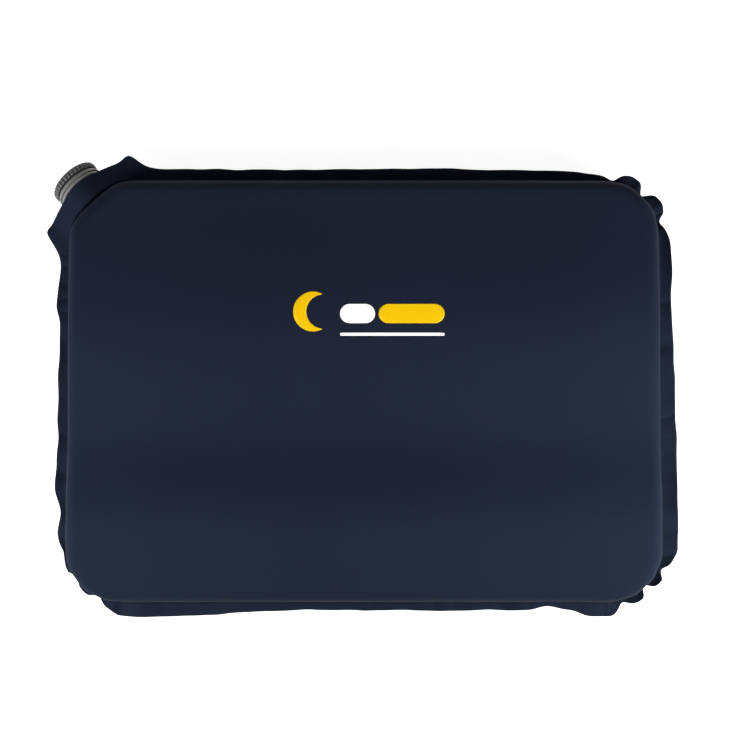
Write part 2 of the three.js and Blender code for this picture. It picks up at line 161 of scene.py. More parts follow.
class Graph:
    """A node tree being wired, for a material or for a node group."""

    def __init__(self, tree: bpy.types.NodeTree) -> None:
        """Starts on a node tree."""
        self.tree = tree

    def add(self, kind: str, inputs: dict | None = None, **settings: object) -> bpy.types.Node:
        """Adds a node.

        Args:
            kind: the node's class name.
            inputs: socket name or index to a plain value or to another node's output.
            settings: the node's own properties.

        Returns:
            The new node.
        """
        node = self.tree.nodes.new(kind)
        for key, value in settings.items():
            setattr(node, key, value)
        for key, value in (inputs or {}).items():
            if isinstance(value, bpy.types.NodeSocket):
                self.tree.links.new(value, node.inputs[key])
            else:
                node.inputs[key].default_value = value
        return node

    def math(self, operation: str, *values: object) -> bpy.types.NodeSocket:
        """Adds a Math node and returns its output."""
        node = self.add("ShaderNodeMath", dict(enumerate(values)), operation=operation)
        return node.outputs[0]

    def blend_colour(self, factor: object, low: object, high: object) -> bpy.types.NodeSocket:
        """Adds a colour mix from low to high by a factor and returns its output."""
        node = self.add("ShaderNodeMix", data_type="RGBA")
        for index, value in ((0, factor), (6, low), (7, high)):
            if isinstance(value, bpy.types.NodeSocket):
                self.tree.links.new(value, node.inputs[index])
            else:
                node.inputs[index].default_value = value
        return node.outputs[2]

    def ramp(self, factor: object, low: float, high: float) -> bpy.types.NodeSocket:
        """Stretches a 0 to 1 value to run from low to high and returns the output."""
        node = self.add(
            "ShaderNodeMapRange", {"Value": factor, "To Min": low, "To Max": high}
        )
        return node.outputs[0]


def new_group(name: str, inputs: dict[str, tuple[str, float]], outputs: Sequence[str]) -> Graph:
    """Starts a shader node group with named sockets.

    Args:
        name: the group's name.
        inputs: socket name to its type and its default number, which vectors ignore.
        outputs: names of its number outputs.

    Returns:
        The group's graph, with its input and output nodes in place.
    """
    tree = bpy.data.node_groups.new(name, "ShaderNodeTree")
    for socket, (kind, value) in inputs.items():
        made = tree.interface.new_socket(socket, in_out="INPUT", socket_type=kind)
        if kind == "NodeSocketFloat":
            made.default_value = value
    for socket in outputs:
        tree.interface.new_socket(socket, in_out="OUTPUT", socket_type="NodeSocketFloat")
    tree.nodes.new("NodeGroupInput")
    tree.nodes.new("NodeGroupOutput")
    return Graph(tree)


def group_ends(graph: Graph) -> tuple[bpy.types.Node, bpy.types.Node]:
    """The input and the output node of a group's graph."""
    nodes = {node.bl_idname: node for node in graph.tree.nodes}
    return nodes["NodeGroupInput"], nodes["NodeGroupOutput"]


def weave_group() -> bpy.types.NodeTree:
    """Plain weave: threads that pass over and under each other, with uneven yarn.

    Returns:
        A group with a Coordinates and a Pitch input, and Height and Tone outputs.
    """
    graph = new_group(
        "plain_weave",
        {"Coordinates": ("NodeSocketVector", 0.0), "Pitch": ("NodeSocketFloat", 0.0005)},
        ("Height", "Tone"),
    )
    source, sink = group_ends(graph)
    split = graph.add("ShaderNodeSeparateXYZ", {0: source.outputs["Coordinates"]})
    turn = graph.math("DIVIDE", math.pi, source.outputs["Pitch"])
    warp_angle = graph.math("MULTIPLY", split.outputs[0], turn)
    weft_angle = graph.math("MULTIPLY", split.outputs[1], turn)
    warp = graph.math("ABSOLUTE", graph.math("SINE", warp_angle))
    weft = graph.math("ABSOLUTE", graph.math("SINE", weft_angle))
    over = graph.math("MULTIPLY", graph.math("COSINE", warp_angle), graph.math("COSINE", weft_angle))
    shown = graph.math("GREATER_THAN", over, 0.0)
    threads = graph.add("ShaderNodeMix", {0: shown, 2: warp, 3: weft}, data_type="FLOAT")
    slub = graph.add(
        "ShaderNodeTexNoise",
        {"Vector": source.outputs["Coordinates"], "Scale": 900.0, "Detail": 2.0},
    )
    uneven = graph.math("MULTIPLY_ADD", slub.outputs["Fac"], 0.4, 0.8)
    height = graph.math("MULTIPLY", threads.outputs[0], uneven)
    graph.tree.links.new(height, sink.inputs["Height"])
    graph.tree.links.new(shown, sink.inputs["Tone"])
    return graph.tree


def grain_group() -> bpy.types.NodeTree:
    """Fine uneven grain with slow drift, for moulded and rubbed surfaces.

    Returns:
        A group with Coordinates, Fine and Slow inputs, and Height and Drift outputs.
    """
    graph = new_group(
        "surface_grain",
        {
            "Coordinates": ("NodeSocketVector", 0.0),
            "Fine": ("NodeSocketFloat", 2500.0),
            "Slow": ("NodeSocketFloat", 60.0),
        },
        ("Height", "Drift"),
    )
    source, sink = group_ends(graph)
    for scale, detail, output in (("Fine", 3.0, "Height"), ("Slow", 2.0, "Drift")):
        texture = graph.add(
            "ShaderNodeTexNoise",
            {
                "Vector": source.outputs["Coordinates"],
                "Scale": source.outputs[scale],
                "Detail": detail,
            },
        )
        graph.tree.links.new(texture.outputs["Fac"], sink.inputs[output])
    return graph.tree


@dataclass
class Groups:
    """The shared effects, built once."""

    weave: bpy.types.NodeTree = field(default_factory=weave_group)
    grain: bpy.types.NodeTree = field(default_factory=grain_group)


Colour = tuple[float, float, float, float]


def start_material(name: str) -> tuple[bpy.types.Material, Graph, bpy.types.Node]:
    """A material with only a Principled shader and its output.

    Args:
        name: the material's name.

    Returns:
        The material, its graph and its Principled node.
    """
    material = bpy.data.materials.new(name)
    material.use_nodes = True
    material.node_tree.nodes.clear()
    graph = Graph(material.node_tree)
    shader = graph.add("ShaderNodeBsdfPrincipled")
    output = graph.add("ShaderNodeOutputMaterial")
    material.node_tree.links.new(shader.outputs[0], output.inputs[0])
    return material, graph, shader


@dataclass(frozen=True)
class CoatedFabric:
    """Fine polyester taffeta with an airtight coating on its back."""

    name: str
    colour: Colour
    lit_thread: Colour
    pitch: float = WEAVE_PITCH
    relief: float = 0.05 * MM
    crease_depth: float = 3.2 * MM
    crease_scale: float = 46.0
    grain_scale: float = 340.0
    drift_scale: float = 9.0
    roughness: float = 0.76
    specular: float = 0.05

    def build(self, groups: Groups) -> bpy.types.Material:
        """Builds the material on the piece's own flat-pattern UV map.

        Args:
            groups: the shared effects.

        Returns:
            The finished material.
        """
        material, graph, shader = start_material(self.name)
        pattern = graph.add("ShaderNodeUVMap", uv_map=FLAT_PATTERN)
        place = graph.add("ShaderNodeTexCoord")
        weave = graph.add("ShaderNodeGroup", node_tree=groups.weave)
        weave.inputs["Pitch"].default_value = self.pitch
        graph.tree.links.new(pattern.outputs[0], weave.inputs["Coordinates"])
        grain = graph.add("ShaderNodeGroup", node_tree=groups.grain)
        grain.inputs["Fine"].default_value = self.grain_scale
        grain.inputs["Slow"].default_value = self.drift_scale
        graph.tree.links.new(place.outputs["Object"], grain.inputs["Coordinates"])
        thread = graph.math("MULTIPLY", weave.outputs["Height"], 0.55)
        tone = graph.math("ADD", thread, graph.math("MULTIPLY", grain.outputs["Drift"], 0.5))
        colour = graph.blend_colour(tone, self.colour, self.lit_thread)
        rough = graph.math("MULTIPLY_ADD", grain.outputs["Drift"], 0.16, self.roughness - 0.08)
        rubbed = graph.math("MULTIPLY", grain.outputs["Height"], 0.04)
        fuzz = graph.math("MULTIPLY", grain.outputs["Height"], 0.6)
        relief = graph.math("ADD", weave.outputs["Height"], fuzz)
        creased = graph.add(
            "ShaderNodeBump",
            {"Strength": 1.0, "Distance": self.crease_depth, "Height": self.creases(graph)},
        )
        bump = graph.add(
            "ShaderNodeBump",
            {
                "Strength": 0.35,
                "Distance": self.relief,
                "Height": relief,
                "Normal": creased.outputs[0],
            },
        )
        graph.tree.links.new(colour, shader.inputs["Base Color"])
        graph.tree.links.new(graph.math("ADD", rough, rubbed), shader.inputs["Roughness"])
        graph.tree.links.new(bump.outputs[0], shader.inputs["Normal"])
        shader.inputs["Specular IOR Level"].default_value = self.specular
        return material

    def creases(self, graph: Graph) -> bpy.types.NodeSocket:
        """Sharp creases that run straight out of the cushion, only where the cloth is slack.

        Args:
            graph: the material's graph.

        Returns:
            Their height, 0 to 1.
        """
        place = graph.add("ShaderNodeAttribute", attribute_name=EDGE_PLACE)
        slack = graph.add("ShaderNodeAttribute", attribute_name=EDGE_SLACK)
        folds = graph.add(
            "ShaderNodeTexNoise",
            {
                "Vector": place.outputs["Vector"],
                "Scale": self.crease_scale,
                "Detail": 1.0,
                "Roughness": 0.4,
            },
        )
        ridge = graph.math("ABSOLUTE", graph.math("MULTIPLY_ADD", folds.outputs["Fac"], 4.0, -2.0))
        return graph.math("MULTIPLY", ridge, slack.outputs["Fac"])


@dataclass(frozen=True)
class MouldedPlastic:
    """Injection-moulded plastic or rubber with a fine spark texture and rubbed high spots."""

    name: str
    colour: Colour
    rubbed: Colour
    roughness: float = 0.42
    relief: float = 0.02 * MM
    specular: float = 0.5

    def build(self, groups: Groups) -> bpy.types.Material:
        """Builds the material on Object coordinates.

        Args:
            groups: the shared effects.

        Returns:
            The finished material.
        """
        material, graph, shader = start_material(self.name)
        place = graph.add("ShaderNodeTexCoord")
        grain = graph.add("ShaderNodeGroup", node_tree=groups.grain)
        grain.inputs["Fine"].default_value = 3200.0
        grain.inputs["Slow"].default_value = 160.0
        graph.tree.links.new(place.outputs["Object"], grain.inputs["Coordinates"])
        worn = graph.add("ShaderNodeAttribute", attribute_name=WORN).outputs["Fac"]
        patchy = graph.math("MULTIPLY", graph.math("MULTIPLY", worn, 0.5), grain.outputs["Drift"])
        tone = graph.math("ADD", patchy, graph.math("MULTIPLY", grain.outputs["Height"], 0.25))
        rough = graph.math("MULTIPLY_ADD", grain.outputs["Drift"], 0.2, self.roughness - 0.1)
        bump = graph.add(
            "ShaderNodeBump",
            {"Strength": 0.3, "Distance": self.relief, "Height": grain.outputs["Height"]},
        )
        colour = graph.blend_colour(tone, self.colour, self.rubbed)
        graph.tree.links.new(colour, shader.inputs["Base Color"])
        graph.tree.links.new(rough, shader.inputs["Roughness"])
        graph.tree.links.new(bump.outputs[0], shader.inputs["Normal"])
        shader.inputs["Specular IOR Level"].default_value = self.specular
        return material


@dataclass(frozen=True)
class OpenCellFoam:
    """Soft polyurethane foam: pale, matt and full of small open cells."""

    name: str
    colour: Colour
    cell: Colour
    cells_per_metre: float = 900.0

    def build(self, groups: Groups) -> bpy.types.Material:
        """Builds the material on Object coordinates.

        Args:
            groups: the shared effects.

        Returns:
            The finished material.
        """
        material, graph, shader = start_material(self.name)
        place = graph.add("ShaderNodeTexCoord")
        cells = graph.add(
            "ShaderNodeTexVoronoi",
            {"Vector": place.outputs["Object"], "Scale": self.cells_per_metre},
            feature="DISTANCE_TO_EDGE",
        )
        grain = graph.add("ShaderNodeGroup", node_tree=groups.grain)
        graph.tree.links.new(place.outputs["Object"], grain.inputs["Coordinates"])
        wall = graph.ramp(cells.outputs["Distance"], 1.0, 0.0)
        shade = graph.math("MULTIPLY", wall, grain.outputs["Drift"])
        colour = graph.blend_colour(shade, self.colour, self.cell)
        bump = graph.add(
            "ShaderNodeBump", {"Strength": 0.7, "Distance": 0.4 * MM, "Height": wall}
        )
        graph.tree.links.new(colour, shader.inputs["Base Color"])
        graph.tree.links.new(bump.outputs[0], shader.inputs["Normal"])
        shader.inputs["Roughness"].default_value = 0.95
        shader.inputs["Specular IOR Level"].default_value = 0.15
        return material


@dataclass(frozen=True)
class PrintFilm:
    """Screen-printed ink film that follows the fabric's weave."""

    name: str
    colour: Colour
    thin: Colour

    def build(self, groups: Groups) -> bpy.types.Material:
        """Builds the material on Object coordinates.

        Args:
            groups: the shared effects.

        Returns:
            The finished material.
        """
        material, graph, shader = start_material(self.name)
        place = graph.add("ShaderNodeTexCoord")
        weave = graph.add("ShaderNodeGroup", node_tree=groups.weave)
        weave.inputs["Pitch"].default_value = WEAVE_PITCH
        grain = graph.add("ShaderNodeGroup", node_tree=groups.grain)
        grain.inputs["Fine"].default_value = 1400.0
        for effect in (weave, grain):
            graph.tree.links.new(place.outputs["Object"], effect.inputs["Coordinates"])
        bare = graph.math("MULTIPLY", grain.outputs["Height"], 0.35)
        colour = graph.blend_colour(bare, self.colour, self.thin)
        bump = graph.add(
            "ShaderNodeBump",
            {"Strength": 0.2, "Distance": 0.03 * MM, "Height": weave.outputs["Height"]},
        )
        graph.tree.links.new(colour, shader.inputs["Base Color"])
        rough = graph.math("MULTIPLY_ADD", grain.outputs["Drift"], 0.2, 0.35)
        graph.tree.links.new(rough, shader.inputs["Roughness"])
        graph.tree.links.new(bump.outputs[0], shader.inputs["Normal"])
        shader.inputs["Specular IOR Level"].default_value = 0.12
        return material


@dataclass
class Finishes:
    """Every finish on the pillow, built once."""

    groups: Groups = field(default_factory=Groups)

    def __post_init__(self) -> None:
        """Builds the materials from their recipes."""
        self.cover = CoatedFabric(
            "navy_taffeta", (0.0062, 0.0094, 0.0198, 1.0), (0.0101, 0.0144, 0.0284, 1.0)
        ).build(self.groups)
        self.foam = OpenCellFoam(
            "cream_foam", (0.62, 0.54, 0.33, 1.0), (0.36, 0.29, 0.15, 1.0)
        ).build(self.groups)
        self.knob = MouldedPlastic(
            "dark_grey_plastic", (0.034, 0.034, 0.034, 1.0), (0.17, 0.17, 0.17, 1.0)
        ).build(self.groups)
        self.collar = MouldedPlastic(
            "mid_grey_plastic", (0.125, 0.129, 0.120, 1.0), (0.22, 0.225, 0.215, 1.0), 0.34
        ).build(self.groups)
        self.rubber = MouldedPlastic(
            "black_rubber", (0.008, 0.008, 0.008, 1.0), (0.03, 0.03, 0.03, 1.0), 0.75
        ).build(self.groups)
        self.yellow = PrintFilm(
            "yellow_ink", (0.76, 0.47, 0.0, 1.0), (0.67, 0.41, 0.0, 1.0)
        ).build(self.groups)
        self.white = PrintFilm(
            "white_ink", (0.95, 0.95, 0.94, 1.0), (0.84, 0.84, 0.84, 1.0)
        ).build(self.groups)


# ------------------------------------------------------------------ the valve's place


@dataclass
class ValvePlace:
    """The valve's own frame: X along the mouth, Y out along the axis, Z up; seat at Y = 0."""

    seat: Vector = field(init=False)
    axis: Vector = field(init=False)
    along: Vector = field(init=False)
    outward: Vector = field(init=False)
    matrix: Matrix = field(init=False)

    def __post_init__(self) -> None:
        """Reads the seat and the axis from the knob's hinge, and works out the rest."""
        turn = next(joint for joint in frame["joints"] if joint["name"] == "knob_turn")
        self.seat = Vector(turn["pos_m"])
        self.axis = Vector(turn["axis"]).normalized()
        self.along = self.axis.cross(Vector((0.0, 0.0, 1.0))).normalized()
        up = self.along.cross(self.axis)
        self.matrix = Matrix.Translation(self.seat) @ Matrix(
            (
                (self.along.x, self.axis.x, up.x, 0.0),
                (self.along.y, self.axis.y, up.y, 0.0),
                (self.along.z, self.axis.z, up.z, 0.0),
                (0.0, 0.0, 0.0, 1.0),
            )
        )
        self.outward = Vector((self.axis.x, self.axis.y, 0.0)).normalized()

    def point(self, across: float, out: float, up: float) -> Vector:
        """A point given in the valve's own frame, in the pillow's frame."""
        return self.matrix @ Vector((across, out, up))


# ------------------------------------------------------------------ cushion shape


@dataclass(frozen=True)
class Pleat:
    """One place on the cushion's edge where the flange is told what to do.

    A place on a straight stretch is millimetres from its middle, counted anticlockwise; on a
    corner it is degrees into the turn, anticlockwise.
    """

    stretch: Stretch
    at: float
    reach: float  # how far the flange stands out from the side wall, mm
    lift: float = 0.0  # how far its edge is up or down, mm
    pinch: float = 0.0  # how far the side wall is drawn in under it, mm


# listed anticlockwise: lobes stand out, and the notches between them are drawn in
PLEATS: tuple[Pleat, ...] = (
    Pleat(Stretch.FRONT_RIGHT, 5, 13.4, 1.0, -0.5),
    Pleat(Stretch.FRONT_RIGHT, 12, 9.0, 1.0, 1.0),
    Pleat(Stretch.FRONT_RIGHT, 16, 4.0, -2.0, 3.5),
    Pleat(Stretch.FRONT_RIGHT, 22, 7.6, 2.5, 0.0),
    Pleat(Stretch.FRONT_RIGHT, 29, 8.4, 5.5, -0.5),
    Pleat(Stretch.FRONT_RIGHT, 37, 8.8, 5.5, -0.5),
    Pleat(Stretch.FRONT_RIGHT, 43.5, 0.8, -3.0, 6.0),
    Pleat(Stretch.FRONT_RIGHT, 50, 8.8, 4.5, -0.5),
    Pleat(Stretch.FRONT_RIGHT, 59, 9.4, 6.0, -1.0),
    Pleat(Stretch.FRONT_RIGHT, 66.5, 5.0, -2.0, 4.5),
    Pleat(Stretch.FRONT_RIGHT, 74, 11.4, 3.5, -0.5),
    Pleat(Stretch.FRONT_RIGHT, 88, 15.0, 1.5, 0.0),
    Pleat(Stretch.RIGHT, -100, 15.4, -1.0, 0.5),
    Pleat(Stretch.RIGHT, -82, 15.0, 2.5, 0.0),
    Pleat(Stretch.RIGHT, -44, 14.8, -1.0, 0.4),
    Pleat(Stretch.RIGHT, -8, 13.7, 1.0, 0.0),
    Pleat(Stretch.RIGHT, 34, 13.0, -1.0, 0.4),
    Pleat(Stretch.RIGHT, 62, 11.5, 1.2, 0.0),
    Pleat(Stretch.RIGHT, 90, 12.2, 4.0, 0.0),
    Pleat(Stretch.RIGHT, 107, 10.6, 5.0, 0.0),
    Pleat(Stretch.BACK_RIGHT, 4, 7.8, 4.0, 0.5),
    Pleat(Stretch.BACK_RIGHT, 13, 3.6, -2.0, 4.0),
    Pleat(Stretch.BACK_RIGHT, 20, 9.4, 3.5, -0.5),
    Pleat(Stretch.BACK_RIGHT, 28, 10.4, 6.0, -1.0),
    Pleat(Stretch.BACK_RIGHT, 38, 9.4, 3.5, 0.0),
    Pleat(Stretch.BACK_RIGHT, 45.5, 0.8, -3.0, 6.0),
    Pleat(Stretch.BACK_RIGHT, 54, 8.8, 4.5, 0.0),
    Pleat(Stretch.BACK_RIGHT, 63, 9.2, 6.0, -1.0),
    Pleat(Stretch.BACK_RIGHT, 72, 7.8, 4.0, -0.5),
    Pleat(Stretch.BACK_RIGHT, 80, 2.6, -2.0, 3.0),
    Pleat(Stretch.BACK, -168, 6.8, 1.0, 0.5),
    Pleat(Stretch.BACK, -156, 8.8, 0.5, 0.5),
    Pleat(Stretch.BACK, -120, 9.8, -0.8, 0.0),
    Pleat(Stretch.BACK, -52, 11.0, 0.8, 0.0),
    Pleat(Stretch.BACK, 30, 10.2, -0.6, 0.0),
    Pleat(Stretch.BACK, 110, 10.2, 0.6, 0.0),
    Pleat(Stretch.BACK, 150, 10.6, -1.0, 0.0),
    Pleat(Stretch.BACK, 158, 11.6, -2.0, 0.0),
    Pleat(Stretch.BACK, 163.2, 13.4, -3.0, 0.0),
    Pleat(Stretch.BACK, 168.1, 17.0, -4.2, 0.0),
    Pleat(Stretch.BACK, 173, 22.6, -5.6, 0.0),
    Pleat(Stretch.LEFT, -114, 22.6, -5.6, 0.0),
    Pleat(Stretch.LEFT, -108, 15.6, -4.0, 0.0),
    Pleat(Stretch.LEFT, -101, 11.0, -2.6, 0.0),
    Pleat(Stretch.LEFT, -92, 8.6, -1.6, 0.0),
    Pleat(Stretch.LEFT, -61, 11.8, 1.6, 0.0),
    Pleat(Stretch.LEFT, -51, 9.2, -1.0, 0.8),
    Pleat(Stretch.LEFT, -28, 9.0, 1.4, 0.4),
    Pleat(Stretch.LEFT, 4, 10.8, -1.4, 0.0),
    Pleat(Stretch.LEFT, 36, 9.8, 1.0, 0.6),
    Pleat(Stretch.LEFT, 54, 11.2, -1.2, 0.0),
    Pleat(Stretch.LEFT, 72, 11.8, 2.0, -0.4),
    Pleat(Stretch.LEFT, 90, 7.4, 1.0, 1.6),
    Pleat(Stretch.LEFT, 105, 10.6, -1.6, -0.6),
    Pleat(Stretch.FRONT_LEFT, 5, 5.0, 2.0, 1.6),
    Pleat(Stretch.FRONT_LEFT, 16, 6.0, -1.0, 0.0),
    Pleat(Stretch.FRONT_LEFT, 26, 6.2, -2.5, -1.0),
    Pleat(Stretch.FRONT_LEFT, 34, 0.5, 3.0, 5.0),
    Pleat(Stretch.FRONT_LEFT, 44, 5.4, -1.0, 0.0),
    Pleat(Stretch.FRONT_LEFT, 54, 6.2, -2.5, -1.0),
    Pleat(Stretch.FRONT_LEFT, 65, 1.5, 3.0, 4.5),
    Pleat(Stretch.FRONT_LEFT, 75, 8.2, -1.0, -0.6),
    Pleat(Stretch.FRONT_LEFT, 88, 13.2, -2.0, 0.4),
    Pleat(Stretch.FRONT, -164, 13.6, 1.8, -0.5),
    Pleat(Stretch.FRONT, -110, 13.2, -1.4, 0.0),
    Pleat(Stretch.FRONT, -96, 10.6, 1.2, 0.6),
    Pleat(Stretch.FRONT, -40, 9.0, -0.8, 0.0),
    Pleat(Stretch.FRONT, 24, 8.8, 1.2, 0.0),
    Pleat(Stretch.FRONT, 58, 9.6, -1.0, 0.3),
    Pleat(Stretch.FRONT, 122, 8.4, 1.8, 0.0),
    Pleat(Stretch.FRONT, 135, 5.8, -2.0, 1.0),
    Pleat(Stretch.FRONT, 150, 8.6, 1.0, 0.6),
    Pleat(Stretch.FRONT, 166, 13.6, 2.0, -0.6),
)


@dataclass
class Cushion:
    """The cushion's plan, its contoured face and what its edge does all the way round."""

    wall: float = 1.5 * MM  # from the foam's CAD solid out to the fabric's outer surface
    corner_radius: float = 38.0 * MM
    back_taper: float = 2.5 * MM
    right_fullness: float = 3.0 * MM
    front_fullness: float = 1.6 * MM
    cut_inset: float = 12.5 * MM  # of the flat corner behind the valve's seat
    cut_softness: float = 6.0 * MM
    flutter_scale: float = 17.0
    flutter_lift: float = 2.2 * MM
    flutter_reach: float = 0.9 * MM
    corner_cells: int = 12
    length_cells: int = 72
    width_cells: int = 46
    crown: float = 1.2 * MM
    base_gap: float = 0.3 * MM  # of the bottom sheet over the resting face
    # how the face ripples: scale across, scale along, place in the noise, and height
    ripples: tuple[tuple[float, float, float, float], ...] = (
        (26.0, 9.0, 3.7, 0.35 * MM),
        (60.0, 48.0, 8.1, 0.12 * MM),
    )
    # heights of the face over the resting face, at shares of the half width
    contour: tuple[tuple[float, float], ...] = (
        (1.0, 77.0 * MM),
        (0.28, 90.0 * MM),
        (-0.2, 84.0 * MM),
        (-0.64, 99.0 * MM),
        (-1.0, 90.0 * MM),
    )
    weld_height: float = 48.0 * MM

    def __post_init__(self) -> None:
        """Takes the plan from the foam's box and the valve's place from its hinge."""
        low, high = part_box("foam_core")
        self.centre = Vector(((low.x + high.x) / 2, (low.y + high.y) / 2, 0.0))
        self.half_length = (high.x - low.x) / 2 + self.wall
        self.half_width = (high.y - low.y) / 2 + self.wall
        self.valve = ValvePlace()
        seat = self.valve.seat - self.centre
        self.cut_distance = self.valve.outward.dot(seat) - self.cut_inset
        self.columns = 2 * self.corner_cells + self.length_cells
        self.rows = 2 * self.corner_cells + self.width_cells
        self.starts = self.stretch_starts()
        self.pleats = sorted(
            ((self.run_of(pleat), pleat) for pleat in PLEATS), key=lambda pair: pair[0]
        )

    # -- the run round the edge, counted in cells from the front right corner

    def cells_of(self, stretch: Stretch) -> int:
        """Cells of the edge in one stretch."""
        if stretch in (Stretch.RIGHT, Stretch.LEFT):
            return self.width_cells
        if stretch in (Stretch.BACK, Stretch.FRONT):
            return self.length_cells
        return 2 * self.corner_cells

    def stretch_starts(self) -> dict[Stretch, int]:
        """Where each stretch starts along the run."""
        starts, run = {}, 0
        for stretch in Stretch:
            starts[stretch] = run
            run += self.cells_of(stretch)
        self.loop_cells = run
        return starts

    def run_of(self, pleat: Pleat) -> float:
        """Where a pleat is along the run, in cells."""
        cells = self.cells_of(pleat.stretch)
        if pleat.stretch in (Stretch.RIGHT, Stretch.LEFT):
            share = 0.5 + pleat.at * MM / (2.0 * (self.half_width - self.corner_radius))
        elif pleat.stretch in (Stretch.BACK, Stretch.FRONT):
            share = 0.5 + pleat.at * MM / (2.0 * (self.half_length - self.corner_radius))
        else:
            share = pleat.at / 90.0
        return self.starts[pleat.stretch] + share * cells

    def pleat_at(self, run: float) -> tuple[float, float, float]:
        """The flange at a place along the run.

        Args:
            run: the place, in cells.

        Returns:
            Reach, lift and pinch, in metres.
        """
        last_run, last = self.pleats[-1]
        last_run -= self.loop_cells
        first_run, first = self.pleats[0]
        for next_run, pleat in [*self.pleats, (first_run + self.loop_cells, first)]:
            if run <= next_run:
                share = smooth((run - last_run) / (next_run - last_run))
                return (
                    mix(last.reach, pleat.reach, share) * MM,
                    mix(last.lift, pleat.lift, share) * MM,
                    mix(last.pinch, pleat.pinch, share) * MM,
                )
            last_run, last = next_run, pleat
        return last.reach * MM, last.lift * MM, last.pinch * MM

    def around(self, run: float) -> Vector:
        """A point on the unit circle for a place along the run, so that the run has no start."""
        turn = math.tau * run / self.loop_cells
        return Vector((math.cos(turn), math.sin(turn), 0.0))

    def flutter(self, run: float) -> tuple[float, float]:
        """Small uneven lift and reach of the flange at a place along the run."""
        place = self.around(run) * self.flutter_scale
        lift = noise.noise(place) + 0.5 * noise.noise(place * 2.0)
        place.z = 7.0
        return lift * self.flutter_lift, noise.noise(place) * self.flutter_reach

    def grid_place(self, vertex: bmesh.types.BMVert) -> tuple[int, int]:
        """Column and row of a vertex of a new grid."""
        column = round(grid_share(vertex.co.x) * self.columns)
        row = round(grid_share(vertex.co.y) * self.rows)
        return column, row

    def grid_loop(self) -> list[tuple[int, int]]:
        """Column and row of each vertex round the grid's edge, in the order of the run."""
        side, top = self.columns, self.rows
        around = [(column, 0) for column in range(side - self.corner_cells, side)]
        around += [(side, row) for row in range(top)]
        around += [(column, top) for column in range(side, 0, -1)]
        around += [(0, row) for row in range(top, 0, -1)]
        around += [(column, 0) for column in range(side - self.corner_cells)]
        return around

    # -- the face

    def height(self, y: float) -> float:
        """Height of the contoured face at a distance from the cushion's middle line."""
        share = min(max(y / self.half_width, -1.0), 1.0)
        for (high, start), (low, end) in zip(self.contour, self.contour[1:]):
            if share >= low:
                return mix(start, end, smooth((high - share) / (high - low)))
        return self.contour[-1][1]

    def axis_place(self, index: int, middle_cells: int, half: float) -> tuple[float, float]:
        """Where a grid line lies.

        Args:
            index: the line's number.
            middle_cells: cells between the two corner zones.
            half: half the cushion's size that way, less the corner radius.

        Returns:
            The place of the straight part, and -1 to 1 for how far into a corner zone it is.
        """
        zone = self.corner_cells
        if index < zone:
            return -half, -math.tan(math.pi / 4.0 * (zone - index) / zone)
        if index > zone + middle_cells:
            return half, math.tan(math.pi / 4.0 * (index - zone - middle_cells) / zone)
        return mix(-half, half, (index - zone) / middle_cells), 0.0

    def plan_point(self, column: int, row: int, inset: float) -> Vector:
        """A grid vertex in plan, from the cushion's centre.

        Args:
            column: the vertex's column.
            row: the vertex's row.
            inset: how far the grid's edge lies inside the side wall.

        Returns:
            The point, with z at zero.
        """
        radius = self.corner_radius - inset
        x, into_x = self.axis_place(
            column, self.length_cells, self.half_length - self.corner_radius
        )
        y, into_y = self.axis_place(row, self.width_cells, self.half_width - self.corner_radius)
        reach = math.hypot(into_x, into_y)
        if reach > 0.0:
            scale = radius * max(abs(into_x), abs(into_y)) / reach
            x += into_x * scale
            y += into_y * scale
        x *= 1.0 - self.back_taper * (0.5 + 0.5 * y / self.half_width) / self.half_length
        x += self.right_fullness * max(x / self.half_length, 0.0)
        y -= self.front_fullness * max(-y / self.half_width, 0.0)
        point = Vector((x, y, 0.0))
        limit = self.cut_distance - inset
        knee = limit - self.cut_softness
        beyond = self.valve.outward.dot(point) - knee
        if beyond > 0.0:
            kept = self.cut_softness * (1.0 - math.exp(-beyond / self.cut_softness))
            point += self.valve.outward * (kept - beyond)
        return point

    def face_height(self, point: Vector, side: Side) -> float:
        """Height of one side's face over the resting face at a point in plan."""
        if side is Side.BOTTOM:
            return self.base_gap
        edge = max(abs(point.x) / self.half_length, abs(point.y) / self.half_width)
        ripple = sum(
            noise.noise(Vector((point.x * across, point.y * along, level))) * height
            for across, along, level, height in self.ripples
        )
        return self.height(point.y) - self.crown * edge**6 + ripple


@dataclass
class MouthShape:
    """The welded wedge of the valve's body, which the fabric opens round."""

    barrel: float = 17.0 * MM
    half_span: float = 35.0 * MM
    fabric: float = 0.9 * MM  # from the barrel out to the fabric's outer surface
    edge_back: float = 0.35 * MM
    tip_reach: float = 42.0 * MM
    tip_inset: float = 5.2 * MM
    wing_end: float = 34.4 * MM
    grip: float = 23.0 * MM  # half the width that is all mouth
    grip_fade: float = 7.0 * MM
    taut: float = 30.0 * MM  # half the width round it that has no creases
    taut_fade: float = 16.0 * MM
    slit_half: float = 27.0 * MM
    spread: float = 1.5  # how much wider the fabric's edge is than its root
    edge_thinning: float = 0.3 * MM

    def rise(self, across: float) -> float:
        """Half thickness of the wedge at a distance across from its middle."""
        across = abs(across)
        tangent = self.barrel * self.barrel / self.half_span
        if across <= tangent:
            return math.sqrt(self.barrel**2 - across**2)
        slope = self.barrel / math.sqrt(self.half_span**2 - self.barrel**2)
        return max(0.0, (self.half_span - across) * slope)

    def edge(self, across: float) -> float:
        """How far out along the axis the fabric's edge lies, from the seat."""
        fall = (abs(across) / self.tip_reach) ** 2.2
        return -self.edge_back - self.tip_inset * fall


